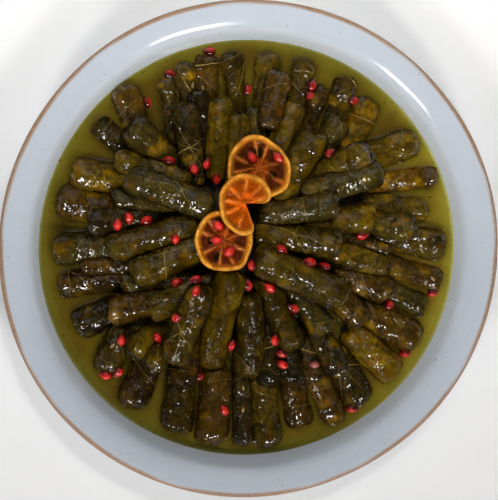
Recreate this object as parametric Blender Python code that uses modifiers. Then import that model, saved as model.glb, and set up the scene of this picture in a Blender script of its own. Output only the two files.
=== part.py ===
"""A platter of stuffed leaf rolls in broth, heaped like spokes in a stoneware dish.

The dish stands on its foot ring at the origin, +X to the right, +Y to the back,
+Z up. Lengths in the tables are millimetres. The rolls are laid one layer after
another: each one is let down on the layers under it, and where two of them
press together both give way to the surface halfway between them.
"""
import math
from collections import namedtuple

import bmesh
import bpy
import numpy as np
from mathutils import Matrix, Vector
from mathutils.bvhtree import BVHTree

MM = 0.001
GAP = 0.3                 # clear space between two pieces that lie together
WALL_GAP = 1.0            # the same against the dish's wall, which is made of flats

# Dish
RIM_RADIUS = 175.0
RIM_HEIGHT = 41.0
FLOOR_RADIUS = 131.0
CORNER_RADIUS = 16.0      # hollow between floor and wall
FLANGE_RADIUS = 157.5     # where the wall turns out into the flange
FLANGE_RISE = 3.6
KNEE = 3.5                # inset of the soft bend under the flange
FOOT_HEIGHT = 4.0
FOOT_RADIUS = 112.0
FOOT_WIDTH = 8.0
BASE_THICKNESS = 5.0
LIP_THICKNESS = 4.5
DISH_SIDES = 36
FLOOR = FOOT_HEIGHT + BASE_THICKNESS

# Broth
BROTH_DEPTH = 12.0
BROTH_LEVEL = FLOOR + BROTH_DEPTH
BROTH_SIDES = 36
BROTH_CORNER = 0.6        # corners that stand out less than this are left out

# Hidden middle of the heap, which carries the upper layers: a low dome
CORE_RADIUS = 72.0
CORE_SHOULDER = 17.0
CORE_TOP = 33.0
CORE_SIDES = 18

# Rolls
PRESS = 6.0               # how far two rolls sink into each other where they bear
SINK = 0.6                # how far a roll flattens on the floor or on the middle
PACKED_SINK = 2.5         # the same for the rolls that are one with the middle
STEEPEST = 22.0           # most that one end of a roll may lie above the other
UNEVEN = 0.05             # share by which a roll's girth wanders
THINNEST = 0.15           # least share of its girth that a pressed spot keeps
SEED = 7
# Sides and stations of the rolls' skins
DETAIL = {"outer_roll": (8, 6), "middle_roll": (8, 7), "top_roll": (9, 8),
          "packed_roll": (7, 6)}

# Pomegranate seeds
SEED_LENGTH = 9.0
SEED_GIRTH = 6.6
SEED_BITE = 1.2           # how deep a seed sits in what it lies on
SEED_TAPER = 0.28

# Citrus slices
SLICE_THICKNESS = 3.6
SLICE_SIDES = 14
SLICE_RINGS = 3
SLICE_SAG = 5.0           # how far a slice hangs below its highest bearing
SLICE_CURL = 1.2          # lift of its edge

Laid = namedtuple("Laid", "outer inner girth layer")

# Each row is one roll: its outer tip, its inner tip, its girth across, its layer.
# Ring on the floor of the dish, clockwise from the left back.
OUTER_ROLLS = [
    Laid((-108, 90), (-76, 60), 18, 0), Laid((-88, 114), (-72, 72), 20, 0),
    Laid((-57, 122), (-53, 68), 16, 0), Laid((-45, 131), (-40, 71), 16, 0),
    Laid((-29, 137), (-26, 77), 17, 0), Laid((-12, 139), (-7, 79), 17, 0),
    Laid((14, 138), (10, 78), 19, 0), Laid((41, 134), (24, 75), 19, 0),
    Laid((53, 115), (36, 68), 16, 0), Laid((71, 121), (53, 67), 17, 0),
    Laid((87, 105), (66, 59), 19, 0), Laid((121, 76), (61, 57), 21, 1),
    Laid((136, 50), (80, 46), 17, 0), Laid((129, 26), (76, 32), 18, 0),
    Laid((142, 0), (84, 11), 23, 0), Laid((139, -25), (86, -7), 18, 0),
    Laid((129, -44), (80, -21), 19, 0), Laid((123, -67), (76, -41), 24, 0),
    Laid((106, -92), (69, -57), 23, 0), Laid((82, -112), (59, -68), 22, 0),
    Laid((63, -126), (44, -75), 20, 0), Laid((38, -128), (26, -74), 20, 0),
    Laid((14, -142), (9, -82), 21, 0), Laid((-4, -141), (-5, -80), 18, 0),
    Laid((-27, -139), (-22, -80), 24, 0), Laid((-52, -130), (-44, -75), 23, 0),
    Laid((-84, -112), (-66, -62), 23, 0), Laid((-102, -89), (-88, -52), 22, 0),
    Laid((-123, -54), (-82, -36), 22, 0), Laid((-134, -25), (-77, -19), 20, 0),
    Laid((-138, 0), (-80, 4), 23, 0), Laid((-135, 35), (-80, 25), 24, 0),
    Laid((-124, 54), (-76, 47), 23, 0),
]
# Middle ring, clockwise from the back.
MIDDLE_ROLLS = [
    Laid((-45, 103), (-38, 43), 19, 2), Laid((-19, 107), (-24, 47), 17, 2),
    Laid((22, 125), (12, 82), 18, 2), Laid((33, 102), (10, 48), 18, 2),
    Laid((47, 83), (18, 32), 23, 2), Laid((92, 55), (34, 39), 19, 3),
    Laid((88, 23), (36, 18), 20, 2), Laid((99, -14), (39, 3), 20, 3),
    Laid((101, -31), (58, -16), 20, 2), Laid((82, -52), (43, -17), 20, 2),
    Laid((31, -71), (8, -16), 21, 2), Laid((-55, -79), (-34, -21), 21, 3),
    Laid((-92, 64), (-40, 46), 17, 3),
]
# The rolls on top, clockwise from the left.
TOP_ROLLS = [
    Laid((-100, 1), (-35, 20), 20, 4), Laid((-86, 52), (-25, 29), 21, 4),
    Laid((61, 34), (4, 24), 18, 4), Laid((63, 4), (3, 12), 19, 4),
    Laid((67, -33), (0, -4), 23, 4), Laid((0, -89), (-1, -26), 21, 4),
    Laid((-29, -84), (-14, -10), 23, 4), Laid((-83, -18), (-30, 5), 21, 4),
]
# Rolls that show only between the others and lie against the middle of the heap.
PACKED_ROLLS = [
    Laid((-85, 89), (-45, 50), 22, 1), Laid((-35, 112), (-31, 62), 14, 1),
    Laid((-6, 95), (-11, 35), 17, 1), Laid((6, 100), (4, 42), 15, 1),
    Laid((65, 90), (44, 62), 17, 1), Laid((82, 71), (36, 44), 18, 2),
    Laid((116, 14), (61, 23), 18, 1), Laid((101, -4), (51, 13), 14, 1),
    Laid((64, -87), (41, -47), 18, 1), Laid((47, -94), (36, -52), 15, 1),
    Laid((31, -96), (23, -52), 17, 1), Laid((13, -97), (16, -45), 17, 1),
    Laid((55, -60), (22, -17), 20, 2), Laid((-50, -95), (-36, -43), 20, 1),
    Laid((-72, -83), (-46, -50), 16, 1), Laid((-85, -72), (-48, -45), 18, 1),
    Laid((-71, -41), (-20, -19), 18, 2), Laid((-100, -44), (-46, -28), 20, 1),
    Laid((-90, -23), (-38, -24), 18, 1), Laid((-118, -11), (-62, -9), 15, 1),
    Laid((-114, 19), (-62, 26), 16, 1), Laid((-96, 35), (-37, 34), 17, 1),
]

# Pomegranate seeds: where each lies and which way its long side points, degrees.
SEEDS = [
    (-27, 139, 0), (-55, 123, 0), (-70, 103, 100), (0, 112, 60),
    (-57, 64, 10), (-40, 56, 105), (-31, 60, 90), (-24, 50, 90),
    (45, 115, 60), (43, 108, 30), (75, 104, 0), (55, 68, 90),
    (-93, 19, 90), (-85, 23, 95), (-73, 22, 30), (-53, 9, 90),
    (-1, -9, 100), (20, 2, 145), (40, -7, 170), (51, -10, 120),
    (79, 9, 0), (-52, -21, 60), (-40, -18, 160), (-40, -26, 70),
    (-53, -45, 0), (-66, -61, 130), (-3, -23, 135), (12, -25, 140),
    (-14, -66, 80), (16, -62, 65), (21, -72, 0), (22, -80, 150),
    (-35, -88, 0), (29, -40, 175), (45, -81, 0), (100, -40, 60),
    (132, -33, 30), (112, -76, 45), (-90, -63, 80), (-101, -88, 0),
    (-92, -86, 50), (-18, -113, 120), (74, -115, 20),
]

# Citrus slices: middle, widths to the right and to the back, lean to the right and
# to the back (rise per length), how far round the flesh goes, and its seeds.
Slice = namedtuple("Slice", "name centre widths lean sweep seeds")
SLICES = [
    Slice("citrus_slice_back", (5, 58), (44, 45), (0.05, -0.12), 360,
          [(0, 65, 120), (18, 65, 135)]),
    Slice("citrus_slice_left", (-21, 8), (41, 42), (0.10, 0.10), 360,
          [(-25, 19, 135), (-26, 9, 0), (-17, 1, 45)]),
    Slice("citrus_slice_top", (-6, 34), (38, 42), (0.0, 0.0), 312, []),
]

# Colours as linear red, green, blue
STONEWARE = (0.47, 0.52, 0.55)
BROTH = (0.12, 0.10, 0.01)
CORE_LEAF = (0.035, 0.03, 0.006)
LEAF_SHADES = [(0.045, 0.038, 0.008), (0.07, 0.06, 0.012), (0.10, 0.075, 0.012),
               (0.05, 0.046, 0.022)]
CITRUS = (0.62, 0.27, 0.04)


def clear_scene():
    """Removes what the file opens with."""
    for old in list(bpy.data.objects):
        bpy.data.objects.remove(old, do_unlink=True)


def material(name, colour, roughness):
    """A plain coloured surface."""
    made = bpy.data.materials.new(name)
    made.use_nodes = True
    shader = made.node_tree.nodes["Principled BSDF"]
    shader.inputs["Base Color"].default_value = (*colour, 1)
    shader.inputs["Roughness"].default_value = roughness
    made.diffuse_color = (*colour, 1)
    return made


def add_object(name, mesh, collection, surface=None):
    """Puts a mesh into the scene under a name."""
    made = bpy.data.objects.new(name, mesh)
    collection.objects.link(made)
    if surface:
        mesh.materials.clear()
        mesh.materials.append(surface)
    return made


def apply_modifiers(target):
    """Replaces the object's mesh by what its modifiers make of it."""
    graph = bpy.context.evaluated_depsgraph_get()
    done = bpy.data.meshes.new_from_object(target.evaluated_get(graph))
    target.modifiers.clear()
    target.data = done


def turned(name, profile, sides, collection, surface, sweep=360.0):
    """A shape turned round the Z axis from a profile of (radius, height) in mm."""
    mesh = bpy.data.meshes.new(name)
    points = [(radius * MM, 0, height * MM) for radius, height in profile]
    mesh.from_pydata(points, [(k, k + 1) for k in range(len(points) - 1)], [])
    made = add_object(name, mesh, collection, surface)
    screw = made.modifiers.new("Turn", "SCREW")
    screw.angle = math.radians(sweep)
    screw.steps = screw.render_steps = sides
    screw.use_merge_vertices = True
    screw.merge_threshold = 1e-6
    apply_modifiers(made)
    triangulate(made)
    return made


def arc(centre, radius, start, end, steps):
    """Points on a circular arc, angles in degrees from +X."""
    angles = np.radians(np.linspace(start, end, steps + 1))
    return [(centre[0] + radius * math.cos(a), centre[1] + radius * math.sin(a))
            for a in angles]


def inner_wall():
    """The dish's inside line from the edge of the floor up to the flange."""
    corner = arc((FLOOR_RADIUS, FLOOR + CORNER_RADIUS), CORNER_RADIUS, -90, -22, 3)
    top = (FLANGE_RADIUS, RIM_HEIGHT - FLANGE_RISE)
    return corner + [(top[0] - KNEE, top[1] - KNEE), top]


def dish_profile():
    """The whole section: floor, wall, flange, lip, outside, foot ring, base."""
    lip = arc((RIM_RADIUS - LIP_THICKNESS / 2, RIM_HEIGHT - LIP_THICKNESS / 2),
              LIP_THICKNESS / 2, 90, -90, 3)
    under = RIM_HEIGHT - LIP_THICKNESS - FLANGE_RISE
    outside = [(FLANGE_RADIUS + 3, under - 1), (FLANGE_RADIUS - 3, under - 7),
               (FLOOR_RADIUS + CORNER_RADIUS + 2, FLOOR + 4),
               (FLOOR_RADIUS + 6, FOOT_HEIGHT)]
    foot = [(FOOT_RADIUS + 1, FOOT_HEIGHT), (FOOT_RADIUS, 0),
            (FOOT_RADIUS - FOOT_WIDTH, 0), (FOOT_RADIUS - FOOT_WIDTH - 1, FOOT_HEIGHT)]
    return [(0, FLOOR)] + inner_wall() + lip + outside + foot + [(0, FOOT_HEIGHT)]


def wall_radius(height):
    """Inside radius of the dish at a height."""
    line = np.array(inner_wall())
    return np.interp(height, line[:, 1], line[:, 0])


def core_height(radius):
    """Top of the hidden middle at a distance from the dish's centre line."""
    share = np.clip(1 - (np.asarray(radius) / CORE_RADIUS) ** 2, 0, 1)
    return CORE_SHOULDER + (CORE_TOP - CORE_SHOULDER) * np.sqrt(share)


def core_profile():
    """A low dome with a straight side, standing just off the floor."""
    radii = CORE_RADIUS * np.sin(np.radians([0, 25, 45, 63, 90]))
    dome = [(r, float(core_height(r))) for r in radii]
    return dome + [(CORE_RADIUS, FLOOR + GAP), (0, FLOOR + GAP)]


class Roll:
    """One stuffed leaf roll: a thick line with a girth, and its skin."""

    def __init__(self, name, laid, packed, rng):
        self.name, self.layer, self.packed = name, laid.layer, packed
        self.radius = laid.girth / 2
        outer, inner = np.array(laid.outer, float), np.array(laid.inner, float)
        along = (inner - outer) / np.linalg.norm(inner - outer)
        self.start = np.append(outer + along * self.radius, FLOOR + self.radius)
        self.end = np.append(inner - along * self.radius, FLOOR + self.radius)
        self.phase = rng.uniform(0, 2 * math.pi, 3)
        self.shade = int(rng.integers(len(LEAF_SHADES)))

    def distance(self, points):
        """How far points lie outside the roll before it is pressed."""
        axis = self.end - self.start
        share = np.clip((points - self.start) @ axis / (axis @ axis), 0, 1)
        nearest = self.start + share[..., None] * axis
        return np.linalg.norm(points - nearest, axis=-1) - self.radius

    def near(self, other):
        """Whether two rolls can touch at all."""
        reach = (self.radius + other.radius + 4 + np.linalg.norm(self.end - self.start) / 2
                 + np.linalg.norm(other.end - other.start) / 2)
        middle = (self.start + self.end - other.start - other.end) / 2
        return self is not other and np.linalg.norm(middle) < reach

    def support(self, share, rolls):
        """Lowest height of the middle line at a share of its length."""
        point = self.start[:2] + share * (self.end - self.start)[:2]
        from_centre = np.linalg.norm(point)
        lowest = FLOOR + self.radius - SINK
        if from_centre < CORE_RADIUS:
            sink = PACKED_SINK if self.packed else SINK
            lowest = max(lowest, float(core_height(from_centre)) + self.radius - sink)
        for other in rolls:
            if other.layer >= self.layer:
                continue
            axis = (other.end - other.start)[:2]
            along = np.clip((point - other.start[:2]) @ axis / (axis @ axis), 0, 1)
            apart = np.linalg.norm(point - other.start[:2] - along * axis)
            bearing = self.radius + other.radius - PRESS
            if apart < bearing:
                height = other.start[2] + along * (other.end - other.start)[2]
                lowest = max(lowest, height + math.sqrt(bearing ** 2 - apart ** 2))
        return lowest

    def settle(self, rolls):
        """Lets the roll down until it rests on both sides of its middle."""
        shares = np.linspace(0, 1, 15)
        heights = np.array([self.support(s, rolls) for s in shares])
        best = (-1.0, 0, 0)
        for left in range(7):
            for right in range(8, 15):
                weight = (0.5 - shares[left]) / (shares[right] - shares[left])
                level = heights[left] * (1 - weight) + heights[right] * weight
                best = max(best, (level, left, right))
        left, right = best[1:]
        slope = (heights[right] - heights[left]) / (shares[right] - shares[left])
        slope = float(np.clip(slope, -STEEPEST, STEEPEST))
        rise = max(heights - slope * (shares - 0.5)) if heights[7] > best[0] else best[0]
        self.start[2] = rise - slope * 0.5
        self.end[2] = rise + slope * 0.5

    def skin(self, sides, rings):
        """Lays out the roll's surface as spokes from its middle line.

        A ball's poles become the tucked ends and its circles of latitude the
        stations along the roll. Every point keeps the middle it hangs from, its
        direction and its length.
        """
        ball = bmesh.new()
        bmesh.ops.create_uvsphere(ball, u_segments=sides, v_segments=rings, radius=1)
        unit = np.array([v.co[:] for v in ball.verts])
        bmesh.ops.triangulate(ball, faces=ball.faces)
        self.faces = [[v.index for v in f.verts] for f in ball.faces]
        ball.free()
        axis = self.end - self.start
        length = np.linalg.norm(axis)
        axis = axis / length
        side = np.cross(axis, (0, 0, 1))
        side /= np.linalg.norm(side)
        up = np.cross(side, axis)
        row = np.arccos(np.clip(unit[:, 2], -1, 1)) / math.pi * rings
        body = np.clip((row - 2) / (rings - 4), 0, 1)
        tuck = np.minimum(row, rings - row)
        girth = np.interp(tuck, [0, 1, 2], [0, 0.66, 0.97])
        girth = np.where((tuck > 2.2), 1.0, girth)
        bulge = np.interp(tuck, [0, 1, 2], [0.98, 0.82, 0.36])
        bulge = np.where(tuck > 2.2, 0, bulge) * np.where(row < rings / 2, -1, 1)
        angle = np.arctan2(unit[:, 1], unit[:, 0])
        wander = 1 + UNEVEN * (np.sin(2 * angle + self.phase[0])
                               + np.sin(3.1 * body + self.phase[1])
                               * np.cos(angle + self.phase[2]))
        self.middles = self.start + body[:, None] * axis * length
        across = np.cos(angle)[:, None] * side + np.sin(angle)[:, None] * up
        spoke = (girth * wander)[:, None] * across + bulge[:, None] * axis
        self.length = np.linalg.norm(spoke, axis=1) * self.radius
        self.spoke = spoke / np.linalg.norm(spoke, axis=1)[:, None]

    def points(self, extra=0.0):
        """The skin's points, optionally pushed out a little."""
        return self.middles + self.spoke * (self.length + extra)[:, None]

    def fits(self, points, neighbours):
        """Which points lie on the roll's own side of everything round it."""
        inside = self.distance(points)
        fine = points[:, 2] > FLOOR + GAP
        fine &= np.hypot(points[:, 0], points[:, 1]) < wall_radius(points[:, 2]) - WALL_GAP
        if not self.packed:
            from_centre = np.hypot(points[:, 0], points[:, 1])
            over = from_centre > CORE_RADIUS + GAP
            fine &= over | (points[:, 2] > core_height(from_centre) + GAP)
        for other in neighbours:
            fine &= other.distance(points) - inside > GAP
        return fine

    def press(self, rolls):
        """Shortens the spokes until each point is on the roll's own side."""
        neighbours = [o for o in rolls if self.near(o)
                      and not (self.packed and o.packed)]
        low, high = np.full(len(self.length), THINNEST), np.ones(len(self.length))
        free = self.fits(self.points(), neighbours)
        for _ in range(12):
            share = (low + high) / 2
            trial = self.middles + self.spoke * (self.length * share)[:, None]
            good = self.fits(trial, neighbours)
            low, high = np.where(good, share, low), np.where(good, high, share)
        self.length = self.length * np.where(free, 1.0, low)


def bvh_of(points, faces):
    """Search tree for finding where two surfaces cross."""
    return BVHTree.FromPolygons([tuple(p) for p in points], faces)


def part_faces(rolls):
    """Shortens spokes wherever the flat faces of two rolls still cross."""
    pairs = [(a, b) for n, a in enumerate(rolls) for b in rolls[n + 1:]
             if a.near(b) and not (a.packed and b.packed)]
    moved = set(rolls)
    for _ in range(60):
        trees = {roll: bvh_of(roll.points(GAP / 2), roll.faces) for roll in rolls}
        crossing = {}
        for a, b in pairs:
            if a not in moved and b not in moved:
                continue
            for face_a, face_b in trees[a].overlap(trees[b]):
                crossing.setdefault(a, set()).update(a.faces[face_a])
                crossing.setdefault(b, set()).update(b.faces[face_b])
        for roll, corners in crossing.items():
            corners = list(corners)
            roll.length[corners] = np.maximum(roll.length[corners] - 0.12, 0.8)
        moved = set(crossing)
        if not moved:
            break
    return moved


def points_mesh(name, points, faces):
    """A smooth-shaded mesh from points in millimetres."""
    mesh = bpy.data.meshes.new(name)
    mesh.from_pydata((np.asarray(points) * MM).tolist(), [], faces)
    mesh.shade_smooth()
    return mesh


def heap_top(x, y, rolls, discs=()):
    """Height of the heap's surface over a point of the table."""
    top = float(core_height(math.hypot(x, y)))
    for roll in rolls:
        axis = (roll.end - roll.start)[:2]
        along = np.clip((np.array((x, y)) - roll.start[:2]) @ axis / (axis @ axis), 0, 1)
        apart = np.linalg.norm(np.array((x, y)) - roll.start[:2] - along * axis)
        if apart < roll.radius:
            height = roll.start[2] + along * (roll.end - roll.start)[2]
            top = max(top, height + math.sqrt(roll.radius ** 2 - apart ** 2))
    for tree in discs:
        hit = tree.ray_cast(Vector((x, y, 200)), Vector((0, 0, -1)))[0]
        if hit:
            top = max(top, hit.z)
    return top


def drape(points, links, lean, centre, rolls, discs):
    """Lays a soft disc over the heap: heights for its underside."""
    offsets = [(0, 0)] + [(3 * math.cos(a), 3 * math.sin(a))
                          for a in np.linspace(0, 2 * math.pi, 6, endpoint=False)]
    rest = np.array([max(heap_top(p[0] + dx, p[1] + dy, rolls, discs)
                         for dx, dy in offsets) for p in points]) + GAP
    slope = (points[:, 0] - centre[0]) * lean[0] + (points[:, 1] - centre[1]) * lean[1]
    plane = max(rest - slope) + slope - SLICE_SAG
    height = np.maximum(plane, rest)
    for _ in range(25):
        mean = np.array([height[list(near)].mean() for near in links])
        height = np.maximum(0.5 * height + 0.5 * mean, rest)
    return height


def citrus_slice(spec, rolls, discs, collection, surface):
    """A thin soft slice of citrus, cut to its middle where its sweep is open."""
    first = 0.0 if spec.sweep == 360 else 0.08
    profile = [(first + (1 - first) * k / SLICE_RINGS, 0) for k in range(SLICE_RINGS + 1)]
    made = turned(spec.name, profile, SLICE_SIDES, collection, surface, spec.sweep)
    mesh = made.data
    points = np.array([v.co[:] for v in mesh.vertices]) / MM
    lift = np.hypot(points[:, 0], points[:, 1])
    points[:, :2] = points[:, :2] * np.array(spec.widths) / 2 + spec.centre
    links = [{k} for k in range(len(points))]
    for edge in mesh.edges:
        links[edge.vertices[0]].add(edge.vertices[1])
        links[edge.vertices[1]].add(edge.vertices[0])
    points[:, 2] = drape(points, links, spec.lean, spec.centre, rolls, discs)
    points[:, 2] += SLICE_CURL * lift ** 3
    for vertex, point in zip(mesh.vertices, points):
        vertex.co = Vector(point) * MM
    if sum(face.normal.z for face in mesh.polygons) < 0:
        mesh.flip_normals()
    skin = made.modifiers.new("Thickness", "SOLIDIFY")
    skin.thickness = SLICE_THICKNESS * MM
    skin.offset = 1
    apply_modifiers(made)
    triangulate(made)
    return made


def triangulate(target):
    """Splits every face of the object into triangles."""
    work = bmesh.new()
    work.from_mesh(target.data)
    bmesh.ops.triangulate(work, faces=work.faces)
    bmesh.ops.recalc_face_normals(work, faces=work.faces)
    work.to_mesh(target.data)
    work.free()


def world_tree(target):
    """Search tree of an object's surface in millimetres."""
    points = [v.co / MM for v in target.data.vertices]
    return BVHTree.FromPolygons(points, [list(f.vertices) for f in target.data.polygons])


def seed_shape(scale):
    """A pomegranate seed: a ball drawn out to a blunt point along +X."""
    ball = bmesh.new()
    bmesh.ops.create_uvsphere(ball, u_segments=5, v_segments=4, radius=1,
                              matrix=Matrix.Rotation(math.radians(90), 4, "Y"))
    bmesh.ops.triangulate(ball, faces=ball.faces)
    unit = np.array([v.co[:] for v in ball.verts])
    faces = [[v.index for v in f.verts] for f in ball.faces]
    ball.free()
    narrow = 1 - SEED_TAPER * np.clip(unit[:, 0], 0, 1)
    half = np.array([SEED_LENGTH, SEED_GIRTH, SEED_GIRTH]) / 2 * scale
    return unit * half * np.stack([np.ones_like(narrow), narrow, narrow], 1), faces


def lie_seed(place, carrier, rolls, sink):
    """Middle of a seed pressed against its carrier and clear of other rolls."""
    small = SEED_GIRTH / 2
    middle = np.array([place[0], place[1], 0.0])
    axis = (carrier.end - carrier.start)[:2]
    along = np.clip((middle[:2] - carrier.start[:2]) @ axis / (axis @ axis), 0, 1)
    apart = np.linalg.norm(middle[:2] - carrier.start[:2] - along * axis)
    height = carrier.start[2] + along * (carrier.end - carrier.start)[2]
    reach = carrier.radius + small - sink
    middle[2] = height + math.sqrt(max(reach ** 2 - apart ** 2, 0))
    for _ in range(40):
        for roll in [carrier] + [r for r in rolls if r is not carrier]:
            span = roll.end - roll.start
            share = np.clip((middle - roll.start) @ span / (span @ span), 0, 1)
            away = middle - roll.start - share * span
            gap = np.linalg.norm(away) - roll.radius
            if roll is carrier:
                middle += away / np.linalg.norm(away) * (small - sink - gap) * 0.5
            elif gap < small + GAP:
                middle += away / np.linalg.norm(away) * (small + GAP - gap) * 0.5
    return middle


def pose_seed(middle, turn, normal, scale):
    """Points of a seed lying flat on a surface, long side along the turn."""
    points, faces = seed_shape(scale)
    long_side = np.array([math.cos(math.radians(turn)), math.sin(math.radians(turn)), 0])
    long_side -= normal * (long_side @ normal)
    long_side /= np.linalg.norm(long_side)
    frame = np.stack([long_side, np.cross(normal, long_side), normal])
    return middle + points @ frame, faces


def keep_clear(points, middle, carrier, rolls):
    """Draws a seed's points in until they clear every roll but its carrier."""
    share = np.ones(len(points))
    for _ in range(30):
        trial = middle + (points - middle) * share[:, None]
        bad = np.zeros(len(points), bool)
        for roll in rolls:
            if roll is not carrier:
                bad |= roll.distance(trial) < GAP
        bad |= trial[:, 2] < FLOOR + GAP
        bad |= np.hypot(trial[:, 0], trial[:, 1]) > wall_radius(trial[:, 2]) - WALL_GAP
        share = np.where(bad, share - 0.03, share)
    return middle + (points - middle) * share[:, None]


def carriers_of(place, rolls):
    """Rolls under a seed, the one that holds it highest first."""
    found = []
    for roll in rolls:
        axis = (roll.end - roll.start)[:2]
        spot = np.array(place[:2], float)
        along = np.clip((spot - roll.start[:2]) @ axis / (axis @ axis), 0, 1)
        apart = np.linalg.norm(spot - roll.start[:2] - along * axis)
        reach = roll.radius + SEED_GIRTH / 2
        if apart < reach:
            height = roll.start[2] + along * (roll.end - roll.start)[2]
            found.append((height + math.sqrt(reach ** 2 - apart ** 2), roll))
    return [roll for _, roll in sorted(found, key=lambda item: -item[0])]


def seed_on_roll(place, rolls, scale):
    """Finds a seed's carrier and its points, pressed in far enough to hold."""
    for carrier in carriers_of(place, rolls)[:2]:
        first = lie_seed(place, carrier, [], SEED_BITE)
        near = [r for r in rolls if r is carrier or r.distance(first) < SEED_LENGTH]
        tree = bvh_of(carrier.points(), carrier.faces)
        for sink in SEED_BITE * np.arange(1, 4, 0.5):
            middle = lie_seed(place, carrier, near, sink)
            span = carrier.end - carrier.start
            share = np.clip((middle - carrier.start) @ span / (span @ span), 0, 1)
            normal = middle - carrier.start - share * span
            points, faces = pose_seed(middle, place[2], normal / np.linalg.norm(normal), scale)
            points = keep_clear(points, middle, carrier, near)
            if len(tree.overlap(bvh_of(points, faces))) > 7:
                return carrier, points, faces
    return None


def seed_on_slice(place, tree, scale):
    """A seed pressed a little into a slice's upper face."""
    hit, normal = tree.ray_cast(Vector((place[0], place[1], 200)), Vector((0, 0, -1)))[:2]
    middle = np.array(hit) + np.array(normal) * (SEED_GIRTH / 2 - SEED_BITE)
    return pose_seed(middle, place[2], np.array(normal), scale)


def loose_shells(work):
    """Groups a mesh's faces by what hangs together."""
    left, shells = set(work.faces), []
    while left:
        stack, shell = [left.pop()], []
        while stack:
            face = stack.pop()
            shell.append(face)
            for edge in face.edges:
                for other in edge.link_faces:
                    if other in left:
                        left.remove(other)
                        stack.append(other)
        shells.append(shell)
    return shells


def tidy(target):
    """Merges slivers where that leaves the skin closed, and keeps the largest shell."""
    for merge in (2e-5, 5e-6, 0):
        work = bmesh.new()
        work.from_mesh(target.data)
        bmesh.ops.triangulate(work, faces=work.faces)
        bmesh.ops.remove_doubles(work, verts=work.verts, dist=merge)
        bmesh.ops.dissolve_degenerate(work, edges=work.edges, dist=merge)
        bmesh.ops.triangulate(work, faces=work.faces)
        if all(edge.is_manifold for edge in work.edges):
            break
        work.free()
    for shell in sorted(loose_shells(work), key=len)[:-1]:
        bmesh.ops.delete(work, geom=shell, context="FACES")
    bmesh.ops.recalc_face_normals(work, faces=work.faces)
    work.to_mesh(target.data)
    work.free()


def boolean(target, pieces, operation, parent):
    """Joins a set of meshes to the target, or cuts them out of it."""
    group = bpy.data.collections.new("pieces")
    parent.children.link(group)
    for number, mesh in enumerate(pieces):
        piece = add_object(f"piece_{number}", mesh, group)
        piece.hide_render = True
        piece.display_type = "WIRE"
    change = target.modifiers.new("Join", "BOOLEAN")
    change.operation = operation
    change.operand_type = "COLLECTION"
    change.collection = group
    change.solver = "EXACT"
    change.use_self = True
    apply_modifiers(target)
    for piece in list(group.objects):
        bpy.data.objects.remove(piece, do_unlink=True)
    bpy.data.collections.remove(group)


def lay_rolls(rng):
    """Makes all rolls, lets them down layer by layer and presses their skins."""
    rolls = []
    groups = [("outer_roll", OUTER_ROLLS, False), ("middle_roll", MIDDLE_ROLLS, False),
              ("top_roll", TOP_ROLLS, False), ("packed_roll", PACKED_ROLLS, True)]
    for prefix, rows, packed in groups:
        for number, laid in enumerate(rows, 1):
            rolls.append(Roll(f"{prefix}_{number:02d}", laid, packed, rng))
    for layer in range(5):
        for roll in rolls:
            if roll.layer == layer:
                roll.settle(rolls)
    for roll in rolls:
        roll.skin(*DETAIL[roll.name[:-3]])
    for roll in rolls:
        roll.press(rolls)
    left = part_faces(rolls)
    print("rolls laid:", len(rolls), "still crossing:", len(left))
    return rolls


def make_core(rolls, seeds, collection):
    """The hidden middle with the rolls fused on that show between the others."""
    surface = material("packed_leaf", CORE_LEAF, 0.5)
    core = turned("packed_middle", core_profile(), CORE_SIDES, collection, surface)
    pieces = []
    for roll in rolls:
        if roll.packed:
            pieces.append(points_mesh(roll.name, roll.points(), roll.faces))
            pieces += [points_mesh("seed", *seed) for seed in seeds.get(roll.name, [])]
    boolean(core, pieces, "UNION", collection)
    tidy(core)
    return core


def sideways(ring):
    """Unit outward normal of each edge of an outline that runs anticlockwise."""
    along = np.roll(ring, -1, 0) - ring
    along /= np.linalg.norm(along, axis=1)[:, None]
    return np.stack([along[:, 1], -along[:, 0]], 1)


def outline(plan):
    """Convex outline of points in plan, with few corners and a gap all round."""
    shape = bmesh.new()
    for x, y in plan:
        shape.verts.new((x, y, 0))
    flat = bmesh.ops.convex_hull(shape, input=shape.verts)["geom"]
    ring = np.array([v.co[:2] for v in flat if isinstance(v, bmesh.types.BMVert)])
    shape.free()
    centre = ring.mean(0)
    ring = ring[np.argsort(np.arctan2(*(ring - centre).T[::-1]))]
    while len(ring) > 5:
        before, after = np.roll(ring, 1, 0), np.roll(ring, -1, 0)
        side = (after - before) / np.linalg.norm(after - before, axis=1)[:, None]
        out = side[:, 1] * (ring - before)[:, 0] - side[:, 0] * (ring - before)[:, 1]
        if out.min() > BROTH_CORNER:
            break
        ring = np.delete(ring, int(out.argmin()), 0)
    normal = sideways(ring)
    missed = np.einsum("eij,ej->ei", plan[None] - ring[:, None], normal).max()
    before = np.roll(normal, 1, 0)
    corner = (normal + before) / (1 + (normal * before).sum(1))[:, None]
    return ring + corner * (max(missed, 0) + GAP * 1.2)


def footprint(points, faces):
    """A column standing on what a shape covers of the table below the broth level."""
    shape = bmesh.new()
    corners = [shape.verts.new(p) for p in points]
    for face in faces:
        shape.faces.new([corners[k] for k in face])
    bmesh.ops.bisect_plane(shape, geom=shape.verts[:] + shape.edges[:] + shape.faces[:],
                           plane_co=(0, 0, BROTH_LEVEL + GAP), plane_no=(0, 0, 1),
                           clear_outer=True)
    ring = outline(np.array([v.co[:2] for v in shape.verts]))
    shape.free()
    return ring


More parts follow.
